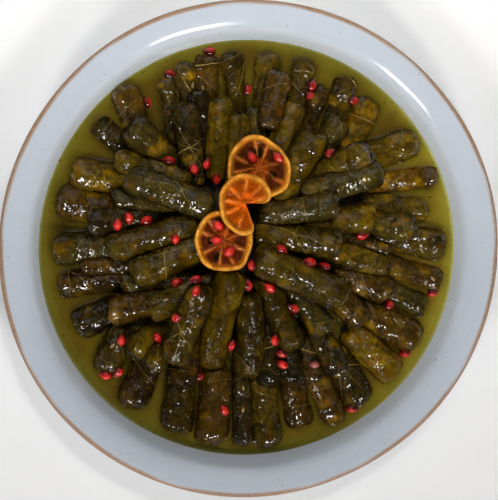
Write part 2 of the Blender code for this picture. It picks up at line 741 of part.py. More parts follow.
def column(ring):
    """A closed prism over an outline, taller than the broth is deep."""
    made = bmesh.new()
    low, tall = (FLOOR - 3) * MM, (BROTH_DEPTH + 6) * MM
    foot = made.faces.new([made.verts.new((x * MM, y * MM, low)) for x, y in ring])
    grown = bmesh.ops.extrude_face_region(made, geom=[foot])["geom"]
    lifted = [v for v in grown if isinstance(v, bmesh.types.BMVert)]
    bmesh.ops.translate(made, verts=lifted, vec=(0, 0, tall))
    bmesh.ops.recalc_face_normals(made, faces=made.faces)
    mesh = bpy.data.meshes.new("column")
    made.to_mesh(mesh)
    made.free()
    return mesh


def make_broth(rolls, seeds, collection):
    """The broth up to its level, cut round whatever stands in it."""
    wall = [(r, z) for r, z in inner_wall() if z < BROTH_LEVEL]
    side = [(r - GAP * 1.4, z + GAP * 0.6) for r, z in wall]
    side.append((float(wall_radius(BROTH_LEVEL)) - GAP * 1.4, BROTH_LEVEL))
    profile = [(0, BROTH_LEVEL)] + side[::-1] + [(0, FLOOR + GAP)]
    broth = turned("broth", profile, BROTH_SIDES, collection, material("broth", BROTH, 0.1))
    cutters = []
    for roll in rolls:
        shapes = [(roll.points(), roll.faces)] + seeds.get(roll.name, [])
        rings = [footprint(points, faces) for points, faces in shapes
                 if min(points[:, 2]) < BROTH_LEVEL]
        cutters += [column(ring) for ring in rings
                    if np.hypot(*ring.T).max() > CORE_RADIUS]
    plug = [(0, CORE_TOP + 2), (CORE_RADIUS + GAP, CORE_TOP + 2),
            (CORE_RADIUS + GAP, FLOOR - 2), (0, FLOOR - 2)]
    core = turned("plug", plug, CORE_SIDES, collection, None)
    cutters.append(core.data.copy())
    bpy.data.objects.remove(core, do_unlink=True)
    boolean(broth, cutters, "DIFFERENCE", collection)
    tidy(broth)
    return broth


def build():
    """Builds the whole platter."""
    clear_scene()
    rng = np.random.default_rng(SEED)
    platter = bpy.data.collections.new("dolma_platter")
    bpy.context.scene.collection.children.link(platter)
    turned("dish", dish_profile(), DISH_SIDES, platter,
           material("stoneware", STONEWARE, 0.3))
    rolls = lay_rolls(rng)

    citrus = material("citrus", CITRUS, 0.4)
    discs = []
    on_slice = []
    for spec in SLICES:
        made = citrus_slice(spec, rolls, discs, platter, citrus)
        discs.append(world_tree(made))
        on_slice.append([seed_on_slice(place, discs[-1], rng.uniform(0.94, 1.06))
                         for place in spec.seeds])

    seeds = {}
    for place in SEEDS:
        found = seed_on_roll(place, rolls, rng.uniform(0.94, 1.06))
        if found:
            seeds.setdefault(found[0].name, []).append(found[1:])
        else:
            print("no carrier for the seed at", place[:2])

    shades = [material(f"leaf_{n}", colour, 0.4) for n, colour in enumerate(LEAF_SHADES, 1)]
    for roll in rolls:
        if roll.packed:
            continue
        skin = points_mesh(roll.name, roll.points(), roll.faces)
        made = add_object(roll.name, skin, platter, shades[roll.shade])
        if roll.name in seeds:
            lying = [points_mesh("seed", *seed) for seed in seeds[roll.name]]
            boolean(made, lying, "UNION", platter)
            tidy(made)
    for spec, lying in zip(SLICES, on_slice):
        if lying:
            made = bpy.data.objects[spec.name]
            boolean(made, [points_mesh("seed", *seed) for seed in lying], "UNION", platter)
            tidy(made)
    make_core(rolls, seeds, platter)
    make_broth(rolls, seeds, platter)
    total = sum(len(o.data.polygons) for o in platter.objects)
    print("nodes:", len(platter.objects), "faces:", total,
          "seeds on rolls:", sum(len(s) for s in seeds.values()))


build()
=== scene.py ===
# %% [markdown]
# # A platter of stuffed vine leaves
# Rolled leaves lie like spokes in a shallow dish of broth, with three cooked citrus slices and
# pomegranate seeds on top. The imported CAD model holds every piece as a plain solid. This lesson
# puts the real surface in the place of each solid: first camera and light, then the dish, the
# rolls, the slices, the seeds and the broth.

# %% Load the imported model
import math

import bpy
import numpy as np
from mathutils import Matrix, Vector


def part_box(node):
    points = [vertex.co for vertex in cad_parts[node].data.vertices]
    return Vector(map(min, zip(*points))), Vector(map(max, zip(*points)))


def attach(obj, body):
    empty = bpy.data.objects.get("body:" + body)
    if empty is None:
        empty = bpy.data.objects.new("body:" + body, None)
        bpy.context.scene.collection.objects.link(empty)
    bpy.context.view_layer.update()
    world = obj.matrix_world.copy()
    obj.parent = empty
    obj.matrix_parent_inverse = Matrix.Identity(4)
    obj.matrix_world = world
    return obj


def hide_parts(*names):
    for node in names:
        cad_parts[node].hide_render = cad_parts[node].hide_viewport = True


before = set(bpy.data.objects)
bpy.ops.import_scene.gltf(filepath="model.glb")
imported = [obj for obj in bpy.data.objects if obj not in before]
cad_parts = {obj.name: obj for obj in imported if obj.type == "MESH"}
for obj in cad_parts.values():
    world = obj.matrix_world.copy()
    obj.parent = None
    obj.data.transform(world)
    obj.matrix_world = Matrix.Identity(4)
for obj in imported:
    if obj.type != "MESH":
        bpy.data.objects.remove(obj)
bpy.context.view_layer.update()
MM = 0.001

# %% [markdown]
# ## The camera
# The photograph looks down on the dish from a little left of and behind its centre line, so
# that the heap leans slightly to the right and to the front. A long lens far away keeps the rim
# a circle. The frame is 498 by 500 pixels, and a pixel is 0.7 mm wide at the rim, which
# fixes the focal length once the distance is chosen.

# %% Camera
TOWARDS_EYE = Vector((-0.0945, 0.068, 1)).normalized()
EYE_DISTANCE = 1.6
PIXEL, FRAME_HEIGHT = 0.6975 * MM, 500
aim = Vector((-0.0010, 0.0002, 0.040))

eye = bpy.data.objects.new("eye", bpy.data.cameras.new("eye"))
bpy.context.scene.collection.objects.link(eye)
across = Vector((0, 1, 0)).cross(TOWARDS_EYE).normalized()
upward = TOWARDS_EYE.cross(across)
turn = Matrix((across, upward, TOWARDS_EYE)).transposed().to_4x4()
eye.matrix_world = Matrix.Translation(aim + TOWARDS_EYE * EYE_DISTANCE) @ turn
eye.data.lens = eye.data.sensor_width * EYE_DISTANCE / (FRAME_HEIGHT * PIXEL)
bpy.context.scene.camera = eye
print("camera at", [round(c, 3) for c in eye.location], "lens", round(eye.data.lens, 1), "mm")

# %% [markdown]
# ## The light
# Two strong narrow lamps in front throw the sparkles on the front shoulders of the rolls and
# the two white streaks on the dish behind them. A wide one overhead fills in, and a narrow
# beam from behind lights the back of the flange. Neither shows in reflections. A dim wide one
# behind gives the rolls' backs a grey sheen. Area lamps suit all, because their width alone
# decides how sharp they reflect.

# %% Lamps
def lamp(name, place, width, watts, colour, looks_at=(0, 0, 0.03), spread=180, glossy=True):
    """A square lamp; its light can be narrowed to a beam and kept out of reflections."""
    made = bpy.data.objects.new(name, bpy.data.lights.new(name, "AREA"))
    made.data.size, made.data.energy, made.data.color = width, watts, colour
    made.data.spread = math.radians(spread)
    made.location, made.visible_glossy = place, glossy
    made.rotation_euler = (Vector(looks_at) - Vector(place)).to_track_quat("-Z", "Y").to_euler()
    bpy.context.scene.collection.objects.link(made)


lamp("front_left_lamp", (-1.05, -1.55, 1.81), 0.42, 25, (1.0, 0.98, 0.96))
lamp("front_right_lamp", (0.70, -1.73, 1.81), 0.42, 25, (1.0, 0.98, 0.96))
lamp("ceiling_softbox", (0, 0.7, 1.8), 2.2, 3, (1.0, 1.0, 1.0), glossy=False)
lamp("back_beam", (0.15, 0.90, 1.80), 0.5, 0.75, (1.0, 0.98, 0.95), (0.02, 0.28, 0.03), 26, False)
lamp("back_window", (-0.20, 1.30, 1.50), 2.0, 5.5, (0.95, 0.94, 1.0))
print("lamps:", [(light.name, light.energy) for light in bpy.data.lights])

# %% World
world = bpy.data.worlds.new("studio")
bpy.context.scene.world = world
world.use_nodes = True
sky = world.node_tree.nodes["Background"].inputs
sky["Color"].default_value = (0.95, 0.97, 1.0, 1)
sky["Strength"].default_value = 0.04
bpy.context.scene.view_settings.view_transform = "Standard"
print("sky strength:", round(sky["Strength"].default_value, 3))

# %% [markdown]
# ## Meshes from arrays
# Every piece below is a grid of points worked out by a formula. One function turns such arrays
# into a mesh, because numpy hands whole arrays to Blender much faster than a loop could. It
# also turns the skin round if it came out inside out, which the sign of its volume tells.

# %% Faces between the points of a grid
def grid_quads(rows, columns, round_rows=False):
    """Quads between neighbours of a grid whose columns close into a ring."""
    row = np.arange(rows if round_rows else rows - 1)[:, None]
    column = np.arange(columns)[None, :]
    above, beside = (row + 1) % rows, (column + 1) % columns
    corners = [row * columns + column, row * columns + beside,
               above * columns + beside, above * columns + column]
    return np.stack(np.broadcast_arrays(*corners), -1).reshape(-1, 4)


def fan(ring, pole):
    """Triangles from each edge of a ring of point numbers to one more point."""
    return np.stack([ring, np.full(len(ring), pole), np.roll(ring, -1)], -1)


def caps(rows, columns):
    """Two fans that close a grid's first and last row, on two more points after the grid."""
    ring = np.arange(columns)
    last = (rows - 1) * columns + ring
    return np.vstack([fan(ring, rows * columns), fan(last, rows * columns + 1)[:, ::-1]])


def volume(points, quads, triangles):
    """Space inside a skin: the sum of the wedges between its faces and the origin."""
    halves = np.concatenate([quads[:, [0, 1, 2]], quads[:, [0, 2, 3]], triangles])
    a, b, c = (points[halves[:, k]] for k in range(3))
    return float(np.einsum("ij,ij->i", a, np.cross(b, c)).sum() / 6)


print("a tube of 3 by 8 points has", len(grid_quads(3, 8)), "quads and", len(caps(3, 8)),
      "triangles")

# %% A mesh from points and faces
def fill_mesh(name, points, quads, triangles):
    """A smooth mesh from points in mm and faces as point numbers, the quads first."""
    mesh = bpy.data.meshes.new(name)
    mesh.vertices.add(len(points))
    mesh.vertices.foreach_set("co", (points * MM).astype(np.float32).ravel())
    mesh.loops.add(quads.size + triangles.size)
    mesh.loops.foreach_set("vertex_index", np.concatenate([quads.ravel(), triangles.ravel()]))
    mesh.polygons.add(len(quads) + len(triangles))
    starts = np.concatenate([np.arange(len(quads)) * 4,
                             quads.size + np.arange(len(triangles)) * 3])
    mesh.polygons.foreach_set("loop_start", starts)
    mesh.update(calc_edges=True)
    mesh.shade_smooth()
    return mesh


def keep_on_mesh(mesh, colour, values):
    """Keeps a colour and named values at the points, where a material can read them."""
    if colour is not None:
        held = mesh.color_attributes.new("colour", "FLOAT_COLOR", "POINT")
        held.data.foreach_set("color", np.column_stack([colour, np.ones(len(colour))]).ravel())
    for label, numbers in dict(values).items():
        mesh.attributes.new(label, "FLOAT", "POINT").data.foreach_set("value", numbers.ravel())


def make_piece(name, points, quads, triangles, finish, stands_for=(), colour=None,
               values=(), leaf_map=None):
    """A piece of the platter and the solids that it stands for.

    The leaf map is a place on the unrolled leaf for each corner of the quads and triangles.
    """
    triangles = np.array(triangles, int).reshape(-1, 3)
    inside_out = volume(points, quads, triangles) < 0
    if inside_out:
        quads, triangles = quads[:, ::-1], triangles[:, ::-1]
    mesh = fill_mesh(name, points, quads, triangles)
    keep_on_mesh(mesh, colour, values)
    if leaf_map is not None:
        flat = np.concatenate([(part[:, ::-1] if inside_out else part).reshape(-1, 2)
                               for part in leaf_map])
        mesh.uv_layers.new(name="leaf").uv.foreach_set("vector", flat.ravel())
    piece = bpy.data.objects.new(name, mesh)
    bpy.context.scene.collection.objects.link(piece)
    mesh.materials.append(finish)
    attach(piece, "root")
    if stands_for:
        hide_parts(*stands_for)
    return piece


print("a mesh keeps its points in metres, where a millimetre is", MM)

# %% Waves, ramps and blends
def waves(points, size, seed, count=14):
    """Smooth unevenness of about -1 to 1: sine waves in many directions, added up.

    Each wave is the sine of how far a point lies along its direction, divided by a
    length near the size.
    """
    draw = np.random.default_rng(seed)
    runs = draw.normal(size=(count, points.shape[-1]))
    runs *= (2 * math.pi / (size * draw.uniform(0.7, 1.5, count))
             / np.linalg.norm(runs, axis=1))[:, None]
    return np.sin(points @ runs.T + draw.uniform(0, 6.28, count)).sum(-1) / math.sqrt(count)


def ramp(value, low, high):
    """0 below low, 1 above high, and a soft S between them."""
    share = np.clip((value - low) / (high - low), 0, 1)
    return share * share * (3 - 2 * share)


def blend(first, second, share):
    """Colours between two, by a share from 0 to 1 for each point."""
    return np.asarray(first) * (1 - share[..., None]) + np.asarray(second) * share[..., None]


print("ramp from 0 to 1 at quarters:", ramp(np.linspace(0, 1, 5), 0, 1))

# %% [markdown]
# ## Materials from nodes
# A material is a chain of nodes that ends in the Principled shader. Three effects come back on
# several finishes, so each is a node group of its own: a fine mottling of the colour, specks of
# another colour, and a wet film that is smooth in some places and dull in others.

# %% Helpers for nodes
def add_node(tree, kind, inputs=(), **settings):
    """A node with its settings, and its inputs given as values or as other nodes' outputs."""
    made = tree.nodes.new(kind)
    for label, value in settings.items():
        setattr(made, label, value)
    for label, value in dict(inputs).items():
        socket = made.inputs[label]
        if isinstance(value, bpy.types.NodeSocket):
            tree.links.new(value, socket)
        else:
            socket.default_value = value
    return made


def calculate(tree, operation, first, second=0.5, third=0.0):
    """What a Math node makes of its inputs."""
    return add_node(tree, "ShaderNodeMath", {0: first, 1: second, 2: third},
                    operation=operation).outputs[0]


def calculate_vector(tree, operation, inputs, output="Vector"):
    """What a Vector Math node makes of its inputs."""
    return add_node(tree, "ShaderNodeVectorMath", inputs, operation=operation).outputs[output]


def remap(tree, value, low, high, to_low=0.0, to_high=1.0):
    """A value carried from one range to another, and kept inside it."""
    return add_node(tree, "ShaderNodeMapRange",
                    {"Value": value, "From Min": low, "From Max": high, "To Min": to_low,
                     "To Max": to_high}).outputs["Result"]


def mix_colours(tree, share, first, second):
    """The colour between two. A Mix node's inputs 6 and 7 and output 2 are its colours."""
    return add_node(tree, "ShaderNodeMix", {"Factor": share, 6: first, 7: second},
                    data_type="RGBA").outputs[2]


def from_mesh(tree, label, output="Fac"):
    """A value that is kept on the mesh, or with the output Color a colour."""
    return add_node(tree, "ShaderNodeAttribute", attribute_name=label).outputs[output]


print("Blender", bpy.app.version_string, "runs the nodes")

# %% Helpers for groups and materials
FLOAT, VECTOR, COLOUR = "NodeSocketFloat", "NodeSocketVector", "NodeSocketColor"


def start_group(name, inputs, outputs):
    """An empty node group with named sockets: (name, kind, value it has when unset)."""
    tree = bpy.data.node_groups.new(name, "ShaderNodeTree")
    for label, kind, value in inputs:
        socket = tree.interface.new_socket(label, in_out="INPUT", socket_type=kind)
        if value is not None:
            socket.default_value = value
    for label, kind in outputs:
        tree.interface.new_socket(label, in_out="OUTPUT", socket_type=kind)
    return tree, tree.nodes.new("NodeGroupInput").outputs, tree.nodes.new("NodeGroupOutput").inputs


def place_group(tree, group, inputs):
    """Places a group in a material and gives the group's outputs."""
    made = tree.nodes.new("ShaderNodeGroup")
    made.node_tree = group
    for label, value in inputs.items():
        if isinstance(value, bpy.types.NodeSocket):
            tree.links.new(value, made.inputs[label])
        else:
            made.inputs[label].default_value = value
    return made.outputs


def start_material(name, **shader_values):
    """A material whose shader has the given constant values, and the place in space."""
    made = bpy.data.materials.new(name)
    made.use_nodes = True
    tree = made.node_tree
    shader = tree.nodes["Principled BSDF"]
    for label, value in shader_values.items():
        shader.inputs[label.replace("_", " ")].default_value = value
    return made, tree, shader, tree.nodes.new("ShaderNodeTexCoord").outputs["Object"]


print("kinds of socket:", FLOAT, VECTOR, COLOUR)

# %% Mottling
mottling, given, result = start_group(
    "mottling", [("Vector", VECTOR, None), ("Colour", COLOUR, (1, 1, 1, 1)),
                 ("Grains per metre", FLOAT, 300), ("Depth", FLOAT, 0.3)],
    [("Colour", COLOUR)])
grain = add_node(mottling, "ShaderNodeTexNoise",
                 {"Vector": given["Vector"], "Scale": given["Grains per metre"], "Detail": 4,
                  "Roughness": 0.65})
lighter = calculate(mottling, "SUBTRACT", grain.outputs["Fac"], 0.5)
factor = calculate(mottling, "MULTIPLY_ADD", lighter, given["Depth"], 1.0)
mottling.links.new(calculate_vector(mottling, "SCALE", {0: given["Colour"], "Scale": factor}),
                   result["Colour"])


def mottle(tree, spot, colour, grains, depth):
    """A colour, or one from a node, with grains of a lighter and darker tone."""
    return place_group(tree, mottling, {"Vector": spot, "Colour": colour,
                                        "Grains per metre": grains, "Depth": depth})["Colour"]


print("mottling has", len(mottling.nodes), "nodes")

# %% Flecks
flecks, given, result = start_group(
    "flecks", [("Vector", VECTOR, None), ("Colour", COLOUR, (1, 1, 1, 1)),
               ("Fleck colour", COLOUR, (0.1, 0.1, 0.1, 1)), ("Flecks per metre", FLOAT, 450),
               ("Noise at their edge", FLOAT, 0.75), ("Noise inside", FLOAT, 0.80)],
    [("Colour", COLOUR)])
speck = add_node(flecks, "ShaderNodeTexNoise",
                 {"Vector": given["Vector"], "Scale": given["Flecks per metre"], "Detail": 1})
mask = remap(flecks, speck.outputs["Fac"], given["Noise at their edge"], given["Noise inside"])
flecks.links.new(mix_colours(flecks, mask, given["Colour"], given["Fleck colour"]),
                 result["Colour"])
print("flecks has", len(flecks.nodes), "nodes")

# %% Wet film
wet_film, given, result = start_group(
    "wet film", [("Vector", VECTOR, None), ("Patches per metre", FLOAT, 120),
                 ("Wet", FLOAT, 0.12), ("Dull", FLOAT, 0.4)],
    [("Roughness", FLOAT), ("Film", FLOAT)])
patch = add_node(wet_film, "ShaderNodeTexNoise",
                 {"Vector": given["Vector"], "Scale": given["Patches per metre"], "Detail": 3})
wet_film.links.new(remap(wet_film, patch.outputs["Fac"], 0.35, 0.65, given["Wet"], given["Dull"]),
                   result["Roughness"])
wet_film.links.new(remap(wet_film, patch.outputs["Fac"], 0.48, 0.58, 1.0, 0.04), result["Film"])


def wet(tree, shader, spot, patches, smooth, dull):
    """Sets the shader's roughness by a wet film, and gives where the film lies."""
    film = place_group(tree, wet_film, {"Vector": spot, "Patches per metre": patches,
                                        "Wet": smooth, "Dull": dull})
    tree.links.new(film["Roughness"], shader.inputs["Roughness"])
    return film["Film"]


print("node groups:", [g.name for g in bpy.data.node_groups])

# %% [markdown]
# ## The floor
# A plain pale floor catches a soft shadow. It is no part of the object.

# %% Floor
floor_paint, tree, shader, spot = start_material("floor_paint", Roughness=0.7)
tree.links.new(mottle(tree, spot, (0.93, 0.935, 0.94, 1), grains=30, depth=0.03),
               shader.inputs["Base Color"])
bpy.ops.mesh.primitive_plane_add(size=4, location=(0, 0, 0))
floor = bpy.context.object
floor.name = "floor"
floor.data.materials.append(floor_paint)
print("floor:", [round(side, 1) for side in floor.dimensions], "m")

# %% [markdown]
# ## The dish
# A thrown stoneware dish: a flat floor, a steep wall, a wide flange and a rounded lip, on a
# foot ring. Its section is drawn once and carried round the middle, as on a potter's wheel. The
# drawn corners are softened by averaging, and the rim wanders a little, as hand work does. The
# lip is left bare, so its brown clay is kept on the mesh as a value.

# %% The dish's section
FLOOR, LEVEL = 9.0, 21.0
RIM_RADIUS = 175.0


def arc(middle, radius, first, last, steps):
    """Points on a circle in the section, angles in degrees from outward."""
    angle = np.radians(np.linspace(first, last, steps + 1))
    return np.column_stack([middle[0] + radius * np.cos(angle),
                            middle[1] + radius * np.sin(angle)])


KNEE = [(148.7, 26.0), (151.4, 31.4), (153.6, 34.4), (156.4, 36.5), (160.0, 38.1), (165.0, 39.5)]
INNER_WALL = np.vstack([arc((131, 25), 16, -90, -22, 3), KNEE])
LIP = arc((172.75, 38.75), 2.25, 95, -90, 10)
UNDERSIDE = [(160.5, 31.9), (154.5, 25.9), (149, 13), (137, 4)]
FOOT_RING = [(113, 4), (112, 0), (104, 0), (103, 4), (40, 4), (0, 4)]
SECTION = np.vstack([[(0, FLOOR), (60, FLOOR)], arc((131, 25), 16, -90, -22, 10), KNEE, LIP,
                     UNDERSIDE, FOOT_RING])


def wall_radius(height):
    """Inside radius of the dish at a height, between the points of its drawn wall."""
    return np.interp(height, INNER_WALL[:, 1], INNER_WALL[:, 0])


print("the broth's level meets the wall at", round(float(wall_radius(LEVEL)), 1), "mm")

# %% Carrying a line round
def even_out(line, step, passes):
    """Walks a drawn line in even steps, then averages each point with its neighbours."""
    run = np.append(0, np.cumsum(np.linalg.norm(np.diff(line, axis=0), axis=1)))
    walk = np.linspace(0, run[-1], int(run[-1] / step))
    even = np.column_stack([np.interp(walk, run, line[:, 0]), np.interp(walk, run, line[:, 1])])
    for _ in range(passes):
        even[1:-1] = even[1:-1] / 2 + (even[:-2] + even[2:]) / 4
    return even


def turn_round(line, sides):
    """Carries a line of (radius, height) round the upright axis."""
    angle = np.linspace(0, 2 * math.pi, sides, endpoint=False)
    radius, height = line[:, None, 0], line[:, None, 1]
    return np.stack([radius * np.cos(angle), radius * np.sin(angle),
                     height + 0 * angle], -1), angle


section = even_out(SECTION, 1.3, 3)
shell, angle = turn_round(section[1:-1], 288)
print("dish grid:", shell.shape[0], "by", shell.shape[1])

# %% A thrown rim, bare clay and painted light on the inner wall
CLAY_FROM = 171.8
outward = ramp(np.hypot(shell[..., 0], shell[..., 1]), 120, 170)
wander = 0.9 * np.sin(2 * angle + 0.7) + 0.5 * np.sin(3 * angle + 2) + 0.25 * np.sin(7 * angle)
shell[..., :2] *= (1 + outward * wander / RIM_RADIUS * 0.7)[..., None]
shell[..., 2] += outward * 0.35 * np.sin(3 * angle + 1)
reach = np.hypot(shell[..., 0], shell[..., 1])
edge = CLAY_FROM + wander * 0.7 + 0.35 * np.sin(9 * angle) + 0.2 * np.sin(23 * angle + 1)
bare = ramp(reach, edge - 0.5, edge + 0.5) * ramp(shell[..., 2], 35.8, 37.2)
rows, sides = shell.shape[:2]
inside = np.arange(rows)[:, None] < reach.argmax(0)
# Painted light: the glaze on the inner wall and the floor is made lighter, nearly white.
painted_wall_light = inside * (1 - ramp(reach, 149, 159))
print("widest", round(float(reach.max()), 2), "mm; bare clay on",
      round(100 * float(bare.mean()), 1), "% of the points")

# %% [markdown]
# ## The glaze
# The glaze is a pale blue grey. On the inner wall and the floor it is painted lighter, nearly
# white, as painted light there, and it leaves the lip's brown clay bare. Both places are kept
# on the mesh as values. Fine specks of iron come from a noise that is cut off high.

# %% Glaze
PLAIN_GLAZE, GLAZE_PAINTED_LIGHTER = (0.525, 0.58, 0.645, 1), (0.70, 0.76, 0.82, 1)
IRON, CLAY = (0.25, 0.22, 0.17, 1), (0.34, 0.205, 0.125, 1)
glaze, tree, shader, spot = start_material("pale_glaze", IOR=1.5)
bare_clay = from_mesh(tree, "bare")
# Painted light: the lighter glaze colour goes on the inner wall and the floor.
glazed = mix_colours(tree, from_mesh(tree, "painted_wall_light"), PLAIN_GLAZE, GLAZE_PAINTED_LIGHTER)
cloudy = mottle(tree, spot, glazed, grains=45, depth=0.08)
specked = place_group(tree, flecks, {
    "Vector": spot, "Colour": cloudy, "Fleck colour": IRON, "Flecks per metre": 420,
    "Noise at their edge": 0.76, "Noise inside": 0.80})["Colour"]
clay = mottle(tree, spot, CLAY, grains=300, depth=0.9)
tree.links.new(mix_colours(tree, bare_clay, specked, clay), shader.inputs["Base Color"])
tree.links.new(remap(tree, bare_clay, 0.0, 1.0, 0.16, 0.6), shader.inputs["Roughness"])
ripple = add_node(tree, "ShaderNodeTexNoise", {"Vector": spot, "Scale": 35, "Detail": 2})
dent = add_node(tree, "ShaderNodeBump", {"Height": ripple.outputs["Fac"], "Strength": 0.35,
                                         "Distance": 0.002})
tree.links.new(dent.outputs["Normal"], shader.inputs["Normal"])
print("glaze nodes:", len(tree.nodes))

# %% The glazed dish
points = np.vstack([shell.reshape(-1, 3), [(0, 0, FLOOR), (0, 0, 4)]])
make_piece("dish_glazed", points, grid_quads(rows, sides), caps(rows, sides), glaze,
           ["dish"], values={"bare": np.append(bare.ravel(), [0, 0]),
                                          "painted_wall_light": np.append(painted_wall_light.ravel(), [1, 0])})
print("dish points:", len(points))

# %% [markdown]
# ## How the rolls lie
# Each roll is a thick line with a girth. The table gives the outer tip, the inner tip, the
# girth and the layer, in mm on the floor plan. The rolls are let down layer by layer onto what
# lies below, with the same rule as in the CAD model, so that each one comes to lie where its
# solid is. The fifth entry is the leaf's tone, and the last says how golden its patches are.

# %% Table of rolls
OUTER = [
    ((-108, 90), (-76, 60), 18, 0, "dark", 0.1), ((-88, 114), (-72, 72), 20, 0, "brown", 0.3),
    ((-57, 122), (-53, 68), 16, 0, "dark", 0.3), ((-45, 131), (-40, 71), 16, 0, "dark", 0.2),
    ((-29, 137), (-26, 77), 17, 0, "brown", 0.3), ((-12, 139), (-7, 79), 17, 0, "olive", 0.3),
    ((14, 138), (10, 78), 19, 0, "olive", 0.2), ((41, 134), (24, 75), 19, 0, "olive", 0.4),
    ((53, 115), (36, 68), 16, 0, "brown", 0.3), ((71, 121), (53, 67), 17, 0, "dark", 0.6),
    ((87, 105), (66, 59), 19, 0, "golden", 1.0), ((121, 76), (61, 57), 21, 1, "golden", 0.4),
    ((136, 50), (80, 46), 17, 0, "brown", 1.0), ((129, 26), (76, 32), 18, 0, "olive", 0.5),
    ((142, 0), (84, 11), 23, 0, "olive", 0.5), ((139, -25), (86, -7), 18, 0, "brown", 0.5),
    ((129, -44), (80, -21), 19, 0, "grey", 0.3), ((123, -67), (76, -41), 24, 0, "brown", 0.7),
    ((106, -92), (69, -57), 23, 0, "golden", 1.0), ((82, -112), (59, -68), 22, 0, "dark", 0.2),
    ((63, -126), (44, -75), 20, 0, "brown", 0.8), ((38, -128), (26, -74), 20, 0, "brown", 0.4),
    ((14, -142), (9, -82), 21, 0, "olive", 0.5), ((-4, -141), (-5, -80), 18, 0, "dark", 0.3),
    ((-27, -139), (-22, -80), 24, 0, "brown", 0.6), ((-52, -130), (-44, -75), 23, 0, "olive", 0.5),
    ((-84, -112), (-66, -62), 23, 0, "brown", 0.5), ((-102, -89), (-88, -52), 22, 0, "golden", 0.1),
    ((-123, -54), (-82, -36), 22, 0, "dark", 0.4), ((-134, -25), (-77, -19), 20, 0, "brown", 0.6),
    ((-138, 0), (-80, 4), 23, 0, "grey", 0.5), ((-135, 35), (-80, 25), 24, 0, "brown", 0.7),
    ((-124, 54), (-76, 47), 23, 0, "golden", 0.9)]
MIDDLE = [
    ((-45, 103), (-38, 43), 19, 2, "dark", 0.3), ((-19, 107), (-24, 47), 17, 2, "olive", 0.5),
    ((22, 125), (12, 82), 18, 2, "brown", 0.3), ((33, 102), (10, 48), 18, 2, "olive", 0.3),
    ((47, 83), (18, 32), 23, 2, "golden", 0.4), ((92, 55), (34, 39), 19, 3, "grey", 0.3),
    ((88, 23), (36, 18), 20, 2, "golden", 0.4), ((99, -14), (39, 3), 20, 3, "olive", 0.5),
    ((101, -31), (58, -16), 20, 2, "brown", 0.5), ((82, -52), (43, -17), 20, 2, "brown", 0.6),
    ((31, -71), (8, -16), 21, 2, "olive", 0.4), ((-55, -79), (-34, -21), 21, 3, "olive", 0.5),
    ((-92, 64), (-40, 46), 17, 3, "olive", 0.2)]
TOP = [
    ((-100, 1), (-35, 20), 20, 4, "olive", 0.4), ((-86, 52), (-25, 29), 21, 4, "grey", 0.3),
    ((61, 34), (4, 24), 18, 4, "grey", 0.3), ((63, 4), (3, 12), 19, 4, "olive", 0.4),
    ((67, -33), (0, -4), 23, 4, "olive", 0.5), ((0, -89), (-1, -26), 21, 4, "olive", 0.5),
    ((-29, -84), (-14, -10), 23, 4, "golden", 0.9), ((-83, -18), (-30, 5), 21, 4, "olive", 0.4)]
BETWEEN = [
    ((-85, 89), (-45, 50), 22, 1, "grey", 0.3), ((-35, 112), (-31, 62), 14, 1, "dark", 0.1),
    ((-6, 95), (-11, 35), 17, 1, "golden", 0.9), ((6, 100), (4, 42), 15, 1, "grey", 0.2),
    ((65, 90), (44, 62), 17, 1, "grey", 0.2), ((82, 71), (36, 44), 18, 2, "olive", 0.3),
    ((116, 14), (61, 23), 18, 1, "grey", 0.9), ((101, -4), (51, 13), 14, 1, "dark", 0.2),
    ((64, -87), (41, -47), 18, 1, "dark", 0.3), ((47, -94), (36, -52), 15, 1, "brown", 0.3),
    ((31, -96), (23, -52), 17, 1, "dark", 0.2), ((13, -97), (16, -45), 17, 1, "dark", 0.1),
    ((55, -60), (22, -17), 20, 2, "grey", 0.3), ((-50, -95), (-36, -43), 20, 1, "brown", 0.8),
    ((-72, -83), (-46, -50), 16, 1, "olive", 0.4), ((-85, -72), (-48, -45), 18, 1, "golden", 0.6),
    ((-71, -41), (-20, -19), 18, 2, "olive", 0.3), ((-100, -44), (-46, -28), 20, 1, "brown", 0.7),
    ((-90, -23), (-38, -24), 18, 1, "grey", 0.5), ((-118, -11), (-62, -9), 15, 1, "brown", 0.4),
    ((-114, 19), (-62, 26), 16, 1, "dark", 0.1), ((-96, 35), (-37, 34), 17, 1, "grey", 0.3)]
print("rolls in the table:", len(OUTER + MIDDLE + TOP + BETWEEN))

# %% Top of the hidden middle
CORE_RADIUS, CORE_SHOULDER, CORE_TOP = 72.0, 17.0, 33.0


def core_height(radius):
    """Top of the hidden middle of the heap: a flattened half circle over its shoulder."""
    share = np.clip(1 - (np.asarray(radius) / CORE_RADIUS) ** 2, 0, 1)
    return CORE_SHOULDER + (CORE_TOP - CORE_SHOULDER) * np.sqrt(share)


print("hidden middle at 0, 40 and 70 mm:", core_height([0, 40, 70]).round(1), "mm high")

# %% A roll
PRESS, SINK, SINK_BETWEEN, STEEPEST = 6.0, 0.6, 2.5, 22.0
STATIONS, HALF_WAY = 15, 7
FAR_BELOW, FAR_OFF = -99.0, 99.0


